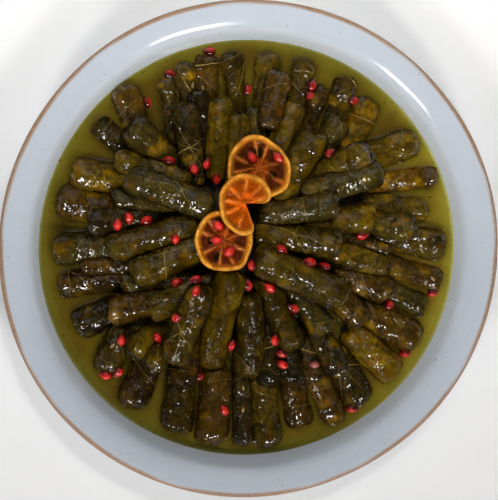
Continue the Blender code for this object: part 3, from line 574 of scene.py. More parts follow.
class Roll:
    """A thick line from start to end, with a radius, and how its leaf looks."""

    def __init__(self, name, row, between, phase):
        outer, inner, girth, self.layer, self.tone, self.gold = row
        self.name, self.between, self.phase, self.radius = name, between, phase, girth / 2
        outer, inner = np.array(outer, float), np.array(inner, float)
        along = (inner - outer) / np.linalg.norm(inner - outer) * self.radius
        self.start = np.append(outer + along, FLOOR + self.radius)
        self.end = np.append(inner - along, FLOOR + self.radius)

    def apart(self, spots):
        """Distance in plan from the middle line, and the middle line's height there."""
        axis = (self.end - self.start)[:2]
        share = np.clip((spots - self.start[:2]) @ axis / (axis @ axis), 0, 1)
        away = np.linalg.norm(spots - self.start[:2] - share[..., None] * axis, axis=-1)
        return away, self.start[2] + share * (self.end - self.start)[2]

    def outside(self, points):
        """Distance from the roll's unpressed skin, negative inside."""
        axis = self.end - self.start
        share = np.clip((points - self.start) @ axis / (axis @ axis), 0, 1)
        return np.linalg.norm(points - self.start - share[..., None] * axis, axis=-1) - self.radius

    def top(self, spots):
        """Height of the skin over a spot, or far below where the roll isn't."""
        away, height = self.apart(spots)
        rise = np.sqrt(np.clip(self.radius ** 2 - away ** 2, 0, None))
        return np.where(away < self.radius, height + rise, FAR_BELOW)

    def settle(self, rolls):
        """Lets the roll down until it rests on both sides of its middle."""
        share = np.linspace(0, 1, STATIONS)
        spots = self.start[:2] + share[:, None] * (self.end - self.start)[:2]
        heights = np.full(STATIONS, FLOOR + self.radius - SINK)
        centre = np.linalg.norm(spots, axis=1)
        sink = SINK_BETWEEN if self.between else SINK
        on_core = core_height(centre) + self.radius - sink
        heights = np.where(centre < CORE_RADIUS, np.maximum(heights, on_core), heights)
        for other in rolls:
            if other.layer < self.layer:
                away, height = other.apart(spots)
                bearing = self.radius + other.radius - PRESS
                rise = np.sqrt(np.clip(bearing ** 2 - away ** 2, 0, None))
                heights = np.where(away < bearing, np.maximum(heights, height + rise), heights)
        best = (-1.0, 0, 0)
        for left in range(HALF_WAY):
            for right in range(HALF_WAY + 1, STATIONS):
                weight = (0.5 - share[left]) / (share[right] - share[left])
                level = heights[left] * (1 - weight) + heights[right] * weight
                best = max(best, (level, left, right))
        left, right = best[1:]
        slope = (heights[right] - heights[left]) / (share[right] - share[left])
        slope = float(np.clip(slope, -STEEPEST, STEEPEST))
        rise = max(heights - slope * (share - 0.5)) if heights[HALF_WAY] > best[0] else best[0]
        self.start[2], self.end[2] = rise - slope * 0.5, rise + slope * 0.5


print("two rolls rest on each other", PRESS, "mm closer than round ones would")

# %% Letting the rolls down
draw = np.random.default_rng(7)
rolls = []
for prefix, table in (("outer_roll", OUTER), ("middle_roll", MIDDLE), ("top_roll", TOP),
                      ("between_roll", BETWEEN)):
    for number, row in enumerate(table, 1):
        phase = draw.uniform(0, 2 * math.pi, 3)
        draw.integers(4)  # the CAD model draws this number too, so both keep in step
        rolls.append(Roll(f"{prefix}_{number:02d}", row, table is BETWEEN, phase))
for layer in range(5):
    for roll in rolls:
        if roll.layer == layer:
            roll.settle(rolls)
highest = max(max(r.start[2], r.end[2]) + r.radius for r in rolls)
print("rolls laid:", len(rolls), "heap's top at", round(highest, 1), "mm")

# %% [markdown]
# ## The skin of a roll
# A roll's surface is a grid: one parameter runs round the girth, the other from tip to tip.
# Every point hangs from the middle line by a spoke. Where a neighbour is nearer, the spoke is
# shortened until the point lies halfway between the two rolls, which flattens both like soft
# food pressed together. Halving the range twelve times finds that length for all points at
# once. On top of that lies the leaf's relief: the edge of its last turn, the tip of a lobe
# lying across, the tucked ends with their pleats, and small wrinkles.

# %% Spokes of a skin
ROUND, CAP, BODY = 80, 12, 46
FATNESS = 3.6


def skin(roll):
    """Spokes of a roll's surface: foot on the middle line, direction and length.

    The body's spokes stand square to the line. At the ends they turn towards the tip, and
    their lengths follow a fat ellipse: sideways part to the power 3.6 plus endways part to
    the power 3.6 is one. The end leans, as its endways part grows with the height or with
    the side. The girth wanders by a few per cent, with flats that turn along the roll.
    """
    axis = roll.end - roll.start
    length = np.linalg.norm(axis)
    axis = axis / length
    side = np.cross(axis, (0, 0, 1))
    side /= np.linalg.norm(side)
    up = np.cross(side, axis)
    rise = np.linspace(0, math.pi / 2, CAP + 1)[1:]
    fat = 2 / FATNESS
    girth = np.concatenate([np.sin(rise) ** fat, np.ones(BODY), np.sin(rise[::-1]) ** fat])
    bulge = np.concatenate([-np.cos(rise) ** fat, np.zeros(BODY), np.cos(rise[::-1]) ** fat])
    body = np.concatenate([np.zeros(CAP), np.linspace(0, 1, BODY + 2)[1:-1], np.ones(CAP)])
    angle = np.linspace(0, 2 * math.pi, ROUND, endpoint=False) - math.pi / 2
    girth, bulge, body = girth[:, None], bulge[:, None], body[:, None]
    wander = 1 + 0.04 * (np.sin(2 * angle + roll.phase[0])
                         + np.sin(3.1 * body + roll.phase[1]) * np.cos(angle + roll.phase[2]))
    wander = wander + 0.022 * np.sin(5 * angle + 1.6 * body + roll.phase[1]) + 0.015 * np.sin(
        5 * body + 3 * angle + roll.phase[2])
    across = np.cos(angle)[:, None] * side + np.sin(angle)[:, None] * up
    leaning = 1 - 0.16 * (1 + np.cos(angle - roll.phase[0] * np.sign(bulge)) * girth)
    bulge = bulge * leaning
    spoke = (girth * wander)[..., None] * across + bulge[..., None] * axis
    size = np.linalg.norm(spoke, axis=-1)
    feet = roll.start + body[..., None] * axis * length + 0 * across
    along = (body * length + bulge * roll.radius) + 0 * angle
    return feet, spoke / size[..., None], size * roll.radius, angle + 0 * body, along, girth


print("a roll's grid:", 2 * CAP + BODY, "by", ROUND, "points")

# %% Pressing against the neighbours
GAP, SHORTEST, HALVINGS, NEAR = 0.3, 0.12, 12, 4


def press(roll, feet, spoke, length, neighbours):
    """Longest spokes for which each point stays on the roll's own side of all round it."""
    low, high = np.full(length.shape, SHORTEST), np.ones(length.shape)
    for step in range(HALVINGS + 1):
        share = high if step == 0 else (low + high) / 2
        points = feet + spoke * (length * share)[..., None]
        inside = roll.outside(points)
        reach = np.hypot(points[..., 0], points[..., 1])
        fine = (points[..., 2] > FLOOR + GAP) & (reach < wall_radius(points[..., 2]) - 1)
        if not roll.between:
            fine &= (reach > CORE_RADIUS + GAP) | (points[..., 2] > core_height(reach) + GAP)
        for other in neighbours:
            fine &= other.outside(points) - inside > GAP
        low = np.where(fine, share, low)
        if step:
            high = np.where(fine, high, share)
    return low


def soften(field):
    """Averages a field on the grid with its neighbours; its columns close into a ring."""
    around = field / 2 + (np.roll(field, 1, 1) + np.roll(field, -1, 1)) / 4
    padded = np.vstack([around[:1], around, around[-1:]])
    return around / 2 + (padded[:-2] + padded[2:]) / 4


def nearby(roll):
    """Rolls that can touch this one."""
    def reach(one):
        return one.radius + np.linalg.norm(one.end - one.start) / 2
    middle = (roll.start + roll.end) / 2
    return [r for r in rolls if r is not roll and reach(r) + reach(roll) + NEAR
            > np.linalg.norm((r.start + r.end) / 2 - middle)]


print("rolls near", rolls[0].name, "are", [r.name for r in nearby(rolls[0])])

# %% [markdown]
# ## The leaf on a roll
# A vine leaf goes round the roll in layers: its last edge is a low step, a lobe may lie across,
# and its sides are tucked in at the ends in pleats. Each is a field over the skin's grid, which
# both lifts the surface and tints it, so that shape and colour agree. The rolls came out of the
# pot in five kinds of brown and green. The factors over some rolls' names make them darker or
# lighter than the rest of their kind: partly their own tone, and partly painted light and shade.

# %% Leaf tones
TONES = {"dark": (0.026, 0.016, 0.0018), "grey": (0.048, 0.034, 0.0040),
         "brown": (0.058, 0.029, 0.0014), "olive": (0.062, 0.038, 0.0008),
         "golden": (0.100, 0.060, 0.0008)}
GOLD, RUST = (0.165, 0.086, 0.0008), (0.110, 0.038, 0.0010)
# Factors for single rolls: partly their own tone, and partly painted light and shade.
SHADES = {
    0.4: "outer_roll_27 outer_roll_28",
    0.6: """outer_roll_26 outer_roll_29 outer_roll_30 middle_roll_11 top_roll_06 between_roll_02
            between_roll_10 between_roll_14""",
    0.75: """outer_roll_06 outer_roll_08 outer_roll_09 outer_roll_22 outer_roll_31 middle_roll_12
             top_roll_07 between_roll_12 between_roll_15 between_roll_19""",
    1.3: """outer_roll_01 outer_roll_02 outer_roll_12 outer_roll_16 outer_roll_19 outer_roll_21
            middle_roll_02 middle_roll_04 between_roll_05 between_roll_06 between_roll_09""",
    1.6: """outer_roll_03 outer_roll_04 outer_roll_10 outer_roll_11 outer_roll_13 outer_roll_14
            outer_roll_18 middle_roll_06 middle_roll_08 middle_roll_13 between_roll_03
            between_roll_07 between_roll_08"""}
shade_of = {name: step for step, names in SHADES.items() for name in names.split()}
print("rolls with a shade of their own:", len(shade_of), "of", len(rolls))

# %% Layers of the leaf
def turned_by(angle, zero):
    """Angle from a direction, between minus and plus half a turn."""
    return (angle - zero + math.pi) % (2 * math.pi) - math.pi


def leaf_layers(roll, angle, along, pick):
    """Raised parts of the wrapped leaf, as four fields from 0 to 1 over the skin.

    The seam climbs evenly once round and drops at the leaf's edge. A lobe is raised where
    a point lies inside its V: its reach along the roll less its slope times the distance
    from its middle. A hem is raised beyond a wavy ring near an end.
    """
    length = np.linalg.norm(roll.end - roll.start)
    seam_at = pick.uniform(-0.6, math.pi + 0.6) + pick.uniform(-0.25, 0.25) * (
        along - length / 2) / roll.radius + 0.06 * np.sin(along / 3.1 + pick.uniform(0, 6))
    seam = ((angle - seam_at) % (2 * math.pi)) / (2 * math.pi)
    way = pick.choice([-1, 1])
    middle = math.pi / 2 + pick.uniform(-0.9, 0.9)
    side = np.abs(turned_by(angle, middle)) * roll.radius
    wobble = 0.5 * np.sin(side * 0.9 + pick.uniform(0, 6)) + 0.3 * np.sin(angle * 9)
    tip = length * pick.uniform(0.35, 0.75)
    lobe = ramp(way * (tip - along) - side * pick.uniform(0.5, 1.1) + wobble, -0.3, 0.3)
    ring = pick.uniform(1.5, 9) + 1.1 * np.sin(angle * 2 + pick.uniform(0, 6)) + wobble * 0.6
    hem = 1 - ramp(along - ring, -0.35, 0.35)
    back = length - pick.uniform(0, 8) + 1.1 * np.sin(angle * 2 + pick.uniform(0, 6))
    far_hem = ramp(along - back, -0.35, 0.35)
    return seam, lobe, hem, far_hem


print("three quarters of a turn count as", round(turned_by(1.5 * math.pi, 0.0), 2))

# %% Relief of the leaf
ALONG_THE_ROLL = np.array([1.0, 1.0, 0.4])
SEAM_STEP, LOBE_STEP, HEM_STEP, FAR_HEM_STEP = 1.1, 0.60, 0.50, 0.3
PLEAT_DEPTH = 1.3


def crease_waves(spot, seed):
    """Long and short waves without their sign. Each has a V, a crease, where its sign changes."""
    return np.abs(waves(spot * ALONG_THE_ROLL, 13, seed + 7)), np.abs(waves(spot, 7.5, seed + 8))


def leaf_relief(spot, angle, along, girth, layers, pick, seed):
    """How far the leaf stands off the smooth skin, in mm: steps, pleats and wrinkles."""
    seam, lobe, hem, far_hem = layers
    steps = (SEAM_STEP * (seam - 0.5) + LOBE_STEP * lobe + HEM_STEP * hem
             - FAR_HEM_STEP * far_hem)
    tucked = 1 - ramp(girth, 0.55, 1.0)
    folds = int(pick.integers(2, 4))
    pleats = np.abs(np.sin(angle * folds + pick.uniform(0, 6) + along * 0.08)) - 0.6
    long_creases, short_creases = crease_waves(spot, seed)
    creases = long_creases + 0.6 * short_creases
    wrinkles = (0.20 * waves(spot, 17, seed) + (0.22 + 0.5 * tucked) * (creases - 0.9)
                + 0.15 * waves(spot, 2.8, seed + 2))
    return steps + PLEAT_DEPTH * tucked * pleats + wrinkles


print("the leaf's edge is a step of", SEAM_STEP, "mm")

# %% Colour of the leaf
def leaf_colour(roll, spot, angle, layers, girth, eased, pick, seed):
    """Olive brown in blotches, each layer of leaf in a shade of its own.

    Painted shade darkens it where another roll presses on it, down its sides and in the
    creases of its wrinkles.
    """
    seam, lobe, hem, _ = layers
    shade = 1 + 0.24 * waves(spot, 11, seed + 3) + 0.18 * waves(spot, 4, seed + 4)
    shade = shade + pick.uniform(-0.28, 0.22) * lobe + pick.uniform(-0.22, 0.25) * hem
    shade = shade - 0.30 * np.exp(-((seam - 0.01) / 0.012) ** 2)
    patch = ramp(waves(spot, 15, seed + 5) + 1.1 * roll.gold - 1.0 + 0.35 * (1 - girth), 0, 1.0)
    rust = ramp(waves(spot, 9, seed + 6) + 0.9 * roll.gold - 1.25, 0, 0.8)
    colour = blend(TONES[roll.tone], GOLD, 0.75 * patch)
    colour = blend(colour, RUST, 0.6 * rust)
    # Painted shade where another roll presses on this one.
    shade = np.clip(shade, 0.45, 1.6) * (0.22 + 0.78 * ramp(eased, 0.55, 0.97))
    # Painted shade down the sides of the roll.
    shade = shade * (0.25 + 0.75 * ramp(np.sin(angle), 0.0, 0.8))
    # Painted shade in the creases of the wrinkles.
    long_creases, short_creases = crease_waves(spot, seed)
    crease = np.minimum(long_creases, 1.6 * short_creases)
    shade = shade * (1 - 0.42 * np.exp(-(crease / 0.20) ** 2))
    return colour * (shade * shade_of.get(roll.name, 1.0))[..., None]


print("kinds of leaf:", list(TONES))

# %% [markdown]
# ## Vine leaf
# A vine leaf shows a star of pale ribs that spread from its stalk, side ribs that leave them
# at a slant, and a net of tiny veins that makes a wet leaf glitter. The ribs are worked out on
# a map of the unrolled leaf, so that they follow the rolling. A few rays at uneven angles and
# stripes across them are enough, and the net comes from cells with a small dome each.

# %% Rays of the leaf
leaf_veins, given, result = start_group(
    "leaf veins", [("Leaf map", VECTOR, None), ("Rays", FLOAT, 6.0), ("Rib width", FLOAT, 0.50),
                   ("Side rib spacing", FLOAT, 7.0), ("Leaf size", FLOAT, 34.0)],
    [("Ribs", FLOAT), ("Layer", FLOAT), ("Height in mm", FLOAT)])


def on_leaf(operation, first, second=0.5, third=0.0):
    """One sum on the leaf's map."""
    return calculate(leaf_veins, operation, first, second, third)


bent = add_node(leaf_veins, "ShaderNodeTexNoise",
                {"Vector": given["Leaf map"], "Scale": 0.07, "Detail": 2},
                noise_dimensions="2D").outputs["Color"]
bent = calculate_vector(leaf_veins, "SUBTRACT", {0: bent, 1: (0.5, 0.5, 0.5)})
bent = calculate_vector(leaf_veins, "MULTIPLY_ADD", {0: bent, 1: (3, 3, 0), 2: given["Leaf map"]})
parts = add_node(leaf_veins, "ShaderNodeSeparateXYZ", {0: bent}).outputs
away = calculate_vector(leaf_veins, "LENGTH", {0: bent}, "Value")
turned = on_leaf("ARCTAN2", parts["Y"], parts["X"])
bearing = on_leaf("MULTIPLY_ADD", on_leaf("SINE", on_leaf("MULTIPLY", turned, 2.0)), 0.30, turned)
sector = on_leaf("DIVIDE", 2 * math.pi, given["Rays"])
in_sector = on_leaf("PINGPONG", bearing, on_leaf("MULTIPLY", sector, 0.5))
sideways = on_leaf("MULTIPLY", away, on_leaf("SINE", in_sector))
lengthways = on_leaf("MULTIPLY", away, on_leaf("COSINE", in_sector))
print("nodes from the map to the rays:", len(leaf_veins.nodes))

# %% Ribs and side ribs
thinning = on_leaf("MULTIPLY_ADD", away, -0.006, given["Rib width"])
rib = remap(leaf_veins, sideways, on_leaf("MULTIPLY", thinning, 0.4), thinning, 1.0, 0.0)
number = on_leaf("ROUND", on_leaf("DIVIDE", bearing, sector))
strong = add_node(leaf_veins, "ShaderNodeTexWhiteNoise", {"W": number},
                  noise_dimensions="1D").outputs["Value"]
rib = on_leaf("MULTIPLY", rib, on_leaf("MULTIPLY_ADD", strong, 0.7, 0.3))
slanted = on_leaf("MULTIPLY_ADD", sideways, -0.9, lengthways)
stripe = on_leaf("PINGPONG", slanted, on_leaf("MULTIPLY", given["Side rib spacing"], 0.5))
side_rib = remap(leaf_veins, stripe, 0.05, 0.2, 0.25, 0.0)
fading = remap(leaf_veins, away, 12, 42, 1.0, 0.25)
ribs = on_leaf("MULTIPLY", on_leaf("MAXIMUM", rib, side_rib), fading)
print("nodes with the ribs:", len(leaf_veins.nodes))

# %% The net and the leaf's edge
cell = add_node(leaf_veins, "ShaderNodeTexVoronoi", {"Vector": given["Leaf map"], "Scale": 0.6},
                voronoi_dimensions="2D").outputs["Distance"]
dome = on_leaf("MULTIPLY", cell, on_leaf("MULTIPLY", cell, -0.10))
lobes = on_leaf("COSINE", on_leaf("MULTIPLY", bearing, given["Rays"]))
teeth = on_leaf("PINGPONG", on_leaf("MULTIPLY", bearing, 7.3), 0.5)
outline = on_leaf("MULTIPLY_ADD", lobes, 0.13, on_leaf("MULTIPLY_ADD", teeth, 0.10, 0.87))
beyond = on_leaf("SUBTRACT", away, on_leaf("MULTIPLY", outline, given["Leaf size"]))
layer = remap(leaf_veins, beyond, -0.25, 0.25, 1.0, 0.0)
hemline = remap(leaf_veins, on_leaf("ABSOLUTE", beyond), 0.1, 0.5, 0.12, 0.0)
drawn = on_leaf("MULTIPLY", ribs, layer)
raised = on_leaf("MULTIPLY_ADD", drawn, 0.18, on_leaf("MULTIPLY_ADD", layer, 0.35, dome))
leaf_veins.links.new(on_leaf("MAXIMUM", drawn, hemline), result["Ribs"])
leaf_veins.links.new(layer, result["Layer"])
leaf_veins.links.new(raised, result["Height in mm"])
print("nodes of the whole leaf:", len(leaf_veins.nodes))

# %% [markdown]
# The leaf's own skin hardly shines. What shines is the film of oil and broth over it, so that is
# the shader's coat: thick in patches, and in small flat facets that each catch a lamp at a turn
# of their own, as the leaf's net does. The ribs are paler than the leaf between them.

# %% Colour and relief of the vine leaf
RIB_COLOUR = (0.30, 0.21, 0.045, 1)
vine_leaf, tree, shader, spot = start_material("vine_leaf", Specular_IOR_Level=0.03,
                                               Coat_Roughness=0.03, Coat_IOR=1.65)
leaf_map = add_node(tree, "ShaderNodeUVMap", uv_map="leaf").outputs["UV"]
veins = place_group(tree, leaf_veins, {"Leaf map": leaf_map})
coarse = mottle(tree, spot, from_mesh(tree, "colour", "Color"), grains=260, depth=1.3)
layered = calculate_vector(tree, "SCALE", {0: mottle(tree, spot, coarse, grains=900, depth=1.3),
                                           "Scale": calculate(tree, "MULTIPLY_ADD",
                                                              veins["Layer"], 0.28, 0.78)})
tree.links.new(mix_colours(tree, veins["Ribs"], layered, RIB_COLOUR), shader.inputs["Base Color"])
pores = add_node(tree, "ShaderNodeTexNoise", {"Vector": spot, "Scale": 420, "Detail": 1})
relief = calculate(tree, "MULTIPLY_ADD", pores.outputs["Fac"], 0.14, veins["Height in mm"])
bump = add_node(tree, "ShaderNodeBump", {"Height": relief, "Strength": 1.0, "Distance": MM})
tree.links.new(bump.outputs["Normal"], shader.inputs["Normal"])
print("leaf nodes:", len(tree.nodes))

# %% Film and facets on the vine leaf
film = wet(tree, shader, spot, patches=140, smooth=0.45, dull=0.65)
tree.links.new(calculate(tree, "MULTIPLY", film, from_mesh(tree, "wetness")),
               shader.inputs["Coat Weight"])
facet = add_node(tree, "ShaderNodeTexVoronoi", {"Vector": leaf_map, "Scale": 0.72},
                 voronoi_dimensions="2D").outputs["Color"]
facet = calculate_vector(tree, "SUBTRACT", {0: facet, 1: (0.5, 0.5, 0.5)})
facet = calculate_vector(tree, "MULTIPLY_ADD", {0: facet, 1: (0.28, 0.28, 0.28),
                                                2: bump.outputs["Normal"]})
tree.links.new(calculate_vector(tree, "NORMALIZE", {0: facet}), shader.inputs["Coat Normal"])
print("leaf nodes with the film:", len(tree.nodes))

# %% [markdown]
# ## Dressing the rolls
# The leaf's map is the skin rolled out flat, so its ribs wrap round the roll as they do on a
# real one. Where the photograph shows the star of a leaf, its spot on the plan is given; the
# others fall by chance. A few rolls in front have dried a little, and glitter less.

# %% Where the stars lie
STARS = {"top_roll_02": (-45, 41), "outer_roll_31": (-114, 13), "middle_roll_01": (-42, 71),
         "top_roll_08": (-61, 0), "top_roll_03": (36, 40), "top_roll_04": (31, 12),
         "middle_roll_12": (-48, -52), "outer_roll_20": (63, -82), "between_roll_15": (-61, -75)}
DRIED = {"top_roll_07": 0.12, "top_roll_06": 0.25, "middle_roll_12": 0.45, "middle_roll_11": 0.4}


def leaf_corners(angle, along, roll, pick):
    """The unrolled leaf's map at every corner, in mm from the middle of its star.

    Girth angle times radius runs one way and the length the other; the map is then moved
    to the star and turned. Corners past the last column count on, so the map has no tear.
    Most stars are turned away from the eye, and some are known by their spot on the plan.
    """
    columns = np.arange(ROUND + 1)
    unrolled = (columns * 2 * math.pi / ROUND - math.pi) * roll.radius
    long_side = np.append(along[:, 0], along[-1, 0] + 1)
    span = (roll.end - roll.start)[:2]
    star = (pick.choice([-1, 1]) * pick.uniform(1.2, 2.6) * roll.radius,
            np.linalg.norm(span) * pick.uniform(-0.3, 1.3))
    if roll.name in STARS:
        way, step = span / np.linalg.norm(span), np.array(STARS[roll.name]) - roll.start[:2]
        off = (step[0] * way[1] - step[1] * way[0]) / roll.radius
        star = (-math.asin(np.clip(off, -0.9, 0.9)) * roll.radius, step @ way)
    turn = pick.uniform(0, 2 * math.pi)
    x, y = np.meshgrid(unrolled - star[0], long_side - star[1])
    flat = np.stack([x * math.cos(turn) - y * math.sin(turn),
                     x * math.sin(turn) + y * math.cos(turn)], -1)
    rows = len(along)
    square = np.stack([flat[:rows - 1, :-1], flat[:rows - 1, 1:], flat[1:rows, 1:],
                       flat[1:rows, :-1]], 2).reshape(-1, 4, 2)
    first = np.stack([flat[0, :-1], flat[0, :-1], flat[0, 1:]], 1)
    last = np.stack([flat[rows - 1, :-1], flat[rows - 1, :-1], flat[rows - 1, 1:]], 1)
    return square, np.concatenate([first, last])


print("stars placed by eye:", len(STARS), "rolls drier than the rest:", len(DRIED))

# %% Build the rolls
LEAF_DRAWS = 400
quads, triangles = grid_quads(2 * CAP + BODY, ROUND), caps(2 * CAP + BODY, ROUND)
for number, roll in enumerate(rolls):
    pick = np.random.default_rng(LEAF_DRAWS + number)
    feet, spoke, length, angle, along, girth = skin(roll)
    share = press(roll, feet, spoke, length, nearby(roll))
    eased = np.minimum(share, soften(soften(soften(share))))
    layers = leaf_layers(roll, angle, along, pick)
    spot = np.stack([np.cos(angle) * roll.radius, np.sin(angle) * roll.radius, along], -1)
    relief = leaf_relief(spot, angle, along, girth, layers, pick, number * 10)
    freedom = 0.35 + 0.65 * ramp(eased, 0.86, 0.99)
    points = feet + spoke * (length * eased + relief * freedom)[..., None]
    colour = leaf_colour(roll, spot, angle, layers, girth, eased, pick, number * 10)
    points = np.vstack([points.reshape(-1, 3), points[0].mean(0), points[-1].mean(0)])
    colour = np.vstack([colour.reshape(-1, 3), colour[0].mean(0), colour[-1].mean(0)])
    square, edge = leaf_corners(angle, along, roll, pick)
    edge[ROUND:] = edge[ROUND:, ::-1]
    node = "packed_middle" if roll.between else roll.name
    wetness = np.full(len(points), DRIED.get(roll.name, 1.0))
    make_piece(roll.name + "_leaf", points, quads, triangles, vine_leaf, [node], colour,
               {"wetness": wetness}, (square, edge))
print("rolls dressed:", len(rolls), "triangles:", len(rolls) * (len(quads) * 2 + len(triangles)))

# %% [markdown]
# ## The hidden middle
# No one sees what lies under the rolls, but a gap between them must end in dark wet leaf. A
# low dome with shallow ridges like more rolls does that, and stands where the CAD model's
# middle stands.

# %% Finish of the hidden middle
dark_leaf, tree, shader, spot = start_material("dark_leaf", IOR=1.45)
tree.links.new(mottle(tree, spot, (0.020, 0.014, 0.004, 1), grains=300, depth=1.2),
               shader.inputs["Base Color"])
wet(tree, shader, spot, patches=120, smooth=0.25, dull=0.6)
print("dark leaf nodes:", len(tree.nodes))

# %% Hidden middle
RIDGES, RIDGE_DEPTH, UNDERSIDE_AT = 13, 2.2, 9.3
steep = CORE_RADIUS * np.sin(np.radians([74, 78, 82, 86, 90]))
radii = np.concatenate([np.linspace(1.5, 68, 36), steep])
line = np.column_stack([radii, core_height(radii)])
line = np.vstack([line, [(CORE_RADIUS, 14), (CORE_RADIUS, 9.5), (60, UNDERSIDE_AT),
                         (2, UNDERSIDE_AT)]])
dome, angle = turn_round(line, 156)
over = (line[:, 1] > 16.5)[:, None]
ridges = np.abs(np.cos(RIDGES * angle)) * ramp(line[:, :1], 12, 36)
dome[..., 2] -= over * RIDGE_DEPTH * ridges
rows, sides = dome.shape[:2]
points = np.vstack([dome.reshape(-1, 3), [(0, 0, CORE_TOP), (0, 0, UNDERSIDE_AT)]])
make_piece("hidden_middle", points, grid_quads(rows, sides), caps(rows, sides), dark_leaf,
           ["packed_middle"])
print("hidden middle:", len(points), "points")

# %% [markdown]
# ## Citrus slices
# A cooked slice is a soft disc with a thick rounded peel, flesh that has sunk between its
# skins, and holes where the flesh is gone. Each one is draped first: its height starts as a
# tilted plane, and is then averaged again and again but never falls below the rolls, so it
# bends over them. The same rule laid the CAD model's slices.

# %% Draping a slice
THICK, SAG, CURL = 3.6, 5.0, 1.2
DRAPE_SPOKES, DRAPE_RINGS, DRAPE_PASSES, FEELERS = 72, 12, 500, 3


class Drape:
    """The underside of a slice, as heights over angle and share of the radius."""

    def __init__(self, centre, widths, lean, below):
        self.centre, self.half = np.array(centre, float), np.array(widths) / 2
        angle = np.linspace(0, 2 * math.pi, DRAPE_SPOKES, endpoint=False)
        share = np.linspace(0, 1, DRAPE_RINGS + 1)[:, None]
        plan = np.stack([share * np.cos(angle), share * np.sin(angle)], -1) * self.half
        spots = plan + self.centre
        rest = np.full(share.shape[:1] + angle.shape, FAR_BELOW)
        around = [(0, 0)] + [(FEELERS * math.cos(a), FEELERS * math.sin(a))
                             for a in np.arange(6) * math.pi / 3]
        for shift in around:
            rest = np.maximum(rest, core_height(np.linalg.norm(spots + shift, axis=-1)))
            for thing in rolls + below:
                rest = np.maximum(rest, thing.top(spots + shift))
        rest = rest + GAP
        slope = plan @ np.array(lean)
        self.height = np.maximum((rest - slope).max() + slope - SAG, rest)
        for _ in range(DRAPE_PASSES):
            even = soften(self.height)
            even[0] = self.height[1].mean()
            self.height = np.maximum(even, rest)

    def under(self, spots):
        """Height of the underside, between the nearest four heights of the grid."""
        flat = (spots - self.centre) / self.half
        share = np.linalg.norm(flat, axis=-1)
        turn = np.arctan2(flat[..., 1], flat[..., 0]) % (2 * math.pi)
        turn = turn / (2 * math.pi) * DRAPE_SPOKES
        row = np.clip(share * DRAPE_RINGS, 0, DRAPE_RINGS - 0.001)
        i, j = row.astype(int), turn.astype(int) % DRAPE_SPOKES
        a, b, k = row - i, turn - turn.astype(int), (j + 1) % DRAPE_SPOKES
        near = self.height[i, j] * (1 - b) + self.height[i, k] * b
        far = self.height[i + 1, j] * (1 - b) + self.height[i + 1, k] * b
        return near * (1 - a) + far * a + CURL * np.clip(share, 0, 1.1) ** 3, share

    def top(self, spots):
        """Height of the upper face over a spot, or far below outside the slice."""
        height, share = self.under(spots)
        return np.where(share < 1, height + THICK, FAR_BELOW)


print("a slice is", THICK, "mm thick and sags by up to", SAG, "mm")

# %% Outline and section of a slice
AROUND, FLESH_ROWS = 160, 26
FLESH_INSET, FLESH_TOP, FLESH_BOTTOM = 5.2, 2.3, 0.3
RIND = np.array([(4.0, 2.1), (3.4, 2.7), (2.9, 3.3), (2.2, 3.65), (1.5, 3.6), (0.8, 3.2),
                 (0.3, 2.6), (0.05, 1.9), (0.2, 1.2), (0.8, 0.5), (1.8, 0.1), (3.0, 0.05),
                 (4.0, 0.2)])


def slice_outline(half, sweep, swells, seed):
    """Angles round the middle, and how far off and which way the edge lies at each.

    The edge is an ellipse times gentle waves, with a bell curve for each swell. Beside a slit
    it draws in, as the peel curls round the end.
    """
    whole = sweep == 360
    even = np.linspace(0, 1, AROUND, endpoint=not whole)
    angle = np.radians(sweep) * (even if whole else even ** 1.4)
    free = 1 + 0.022 * waves(np.column_stack([np.cos(angle), np.sin(angle)]) * 10, 11, seed)
    for direction, swell, width in swells:
        off = turned_by(angle, math.radians(direction)) / math.radians(width)
        free = free + swell * np.exp(-off ** 2)
    if not whole:
        free = free - 0.34 * np.exp(-angle / 0.10) - 0.20 * np.exp(
            (angle - np.radians(sweep)) / 0.06)
    edge = np.stack([half[0] * np.cos(angle), half[1] * np.sin(angle)], -1)
    edge = edge * free[:, None]
    reach = np.linalg.norm(edge, axis=1)
    return angle, reach, edge / reach[:, None]


def slice_section(reach):
    """Distance from the middle, height above the underside and inset from the edge.

    The rows run from the middle over the flesh, round the rind and back underneath.
    """
    inner = np.linspace(0.06, 1, FLESH_ROWS)
    flat = np.full(FLESH_ROWS, FLESH_INSET)
    inset = np.concatenate([flat, RIND[:, 0], flat])[:, None]
    share = np.concatenate([inner, np.ones(len(RIND)), inner[::-1]])[:, None]
    far = share * (reach - inset)
    height = np.concatenate([np.full(FLESH_ROWS, FLESH_TOP), RIND[:, 1],
                             np.full(FLESH_ROWS, FLESH_BOTTOM)])[:, None] + 0 * far
    return far, height, inset


print("a slice's grid has", 2 * FLESH_ROWS + len(RIND), "by", AROUND, "points")

# %% Skins and holes
def segment_skins(far, angle, skins):
    """Distance from the nearest skin between segments, and a mark that is 1 on it.

    The distance from a ray is that from the middle times the sine of the angle between, and
    the mark falls off with its square.
    """
    apart = np.min([far * np.abs(np.sin(angle - s + 0.02 * np.sin(far / 2 + 9 * s)))
                    + FAR_OFF * (np.cos(angle - s) < 0) for s in skins], axis=0)
    thin = 0.35 + 0.25 * ramp(far, 4, 14)
    return apart, np.maximum(np.exp(-(apart / thin) ** 2), np.exp(-(far / 1.6) ** 2))


def holes_at(spots, holes, seed):
    """A mark that is 1 inside the wavy edge of a hole where flesh is gone."""
    mark = np.zeros(spots.shape[:-1])
    for x, y, size in holes:
        away = np.linalg.norm(spots - (x, y), axis=-1)
        mark = np.maximum(mark, 1 - ramp(away + 0.5 * waves(spots, 4, seed + 3),
                                         size - 0.5, size + 0.5))
    return mark


def rays(first, count, seed):
    """Directions of the skins between segments, not quite evenly spread."""
    loose = np.random.default_rng(seed).uniform(-0.2, 0.2, count)
    return np.radians(first) + (np.arange(count) + loose) * 2 * math.pi / count


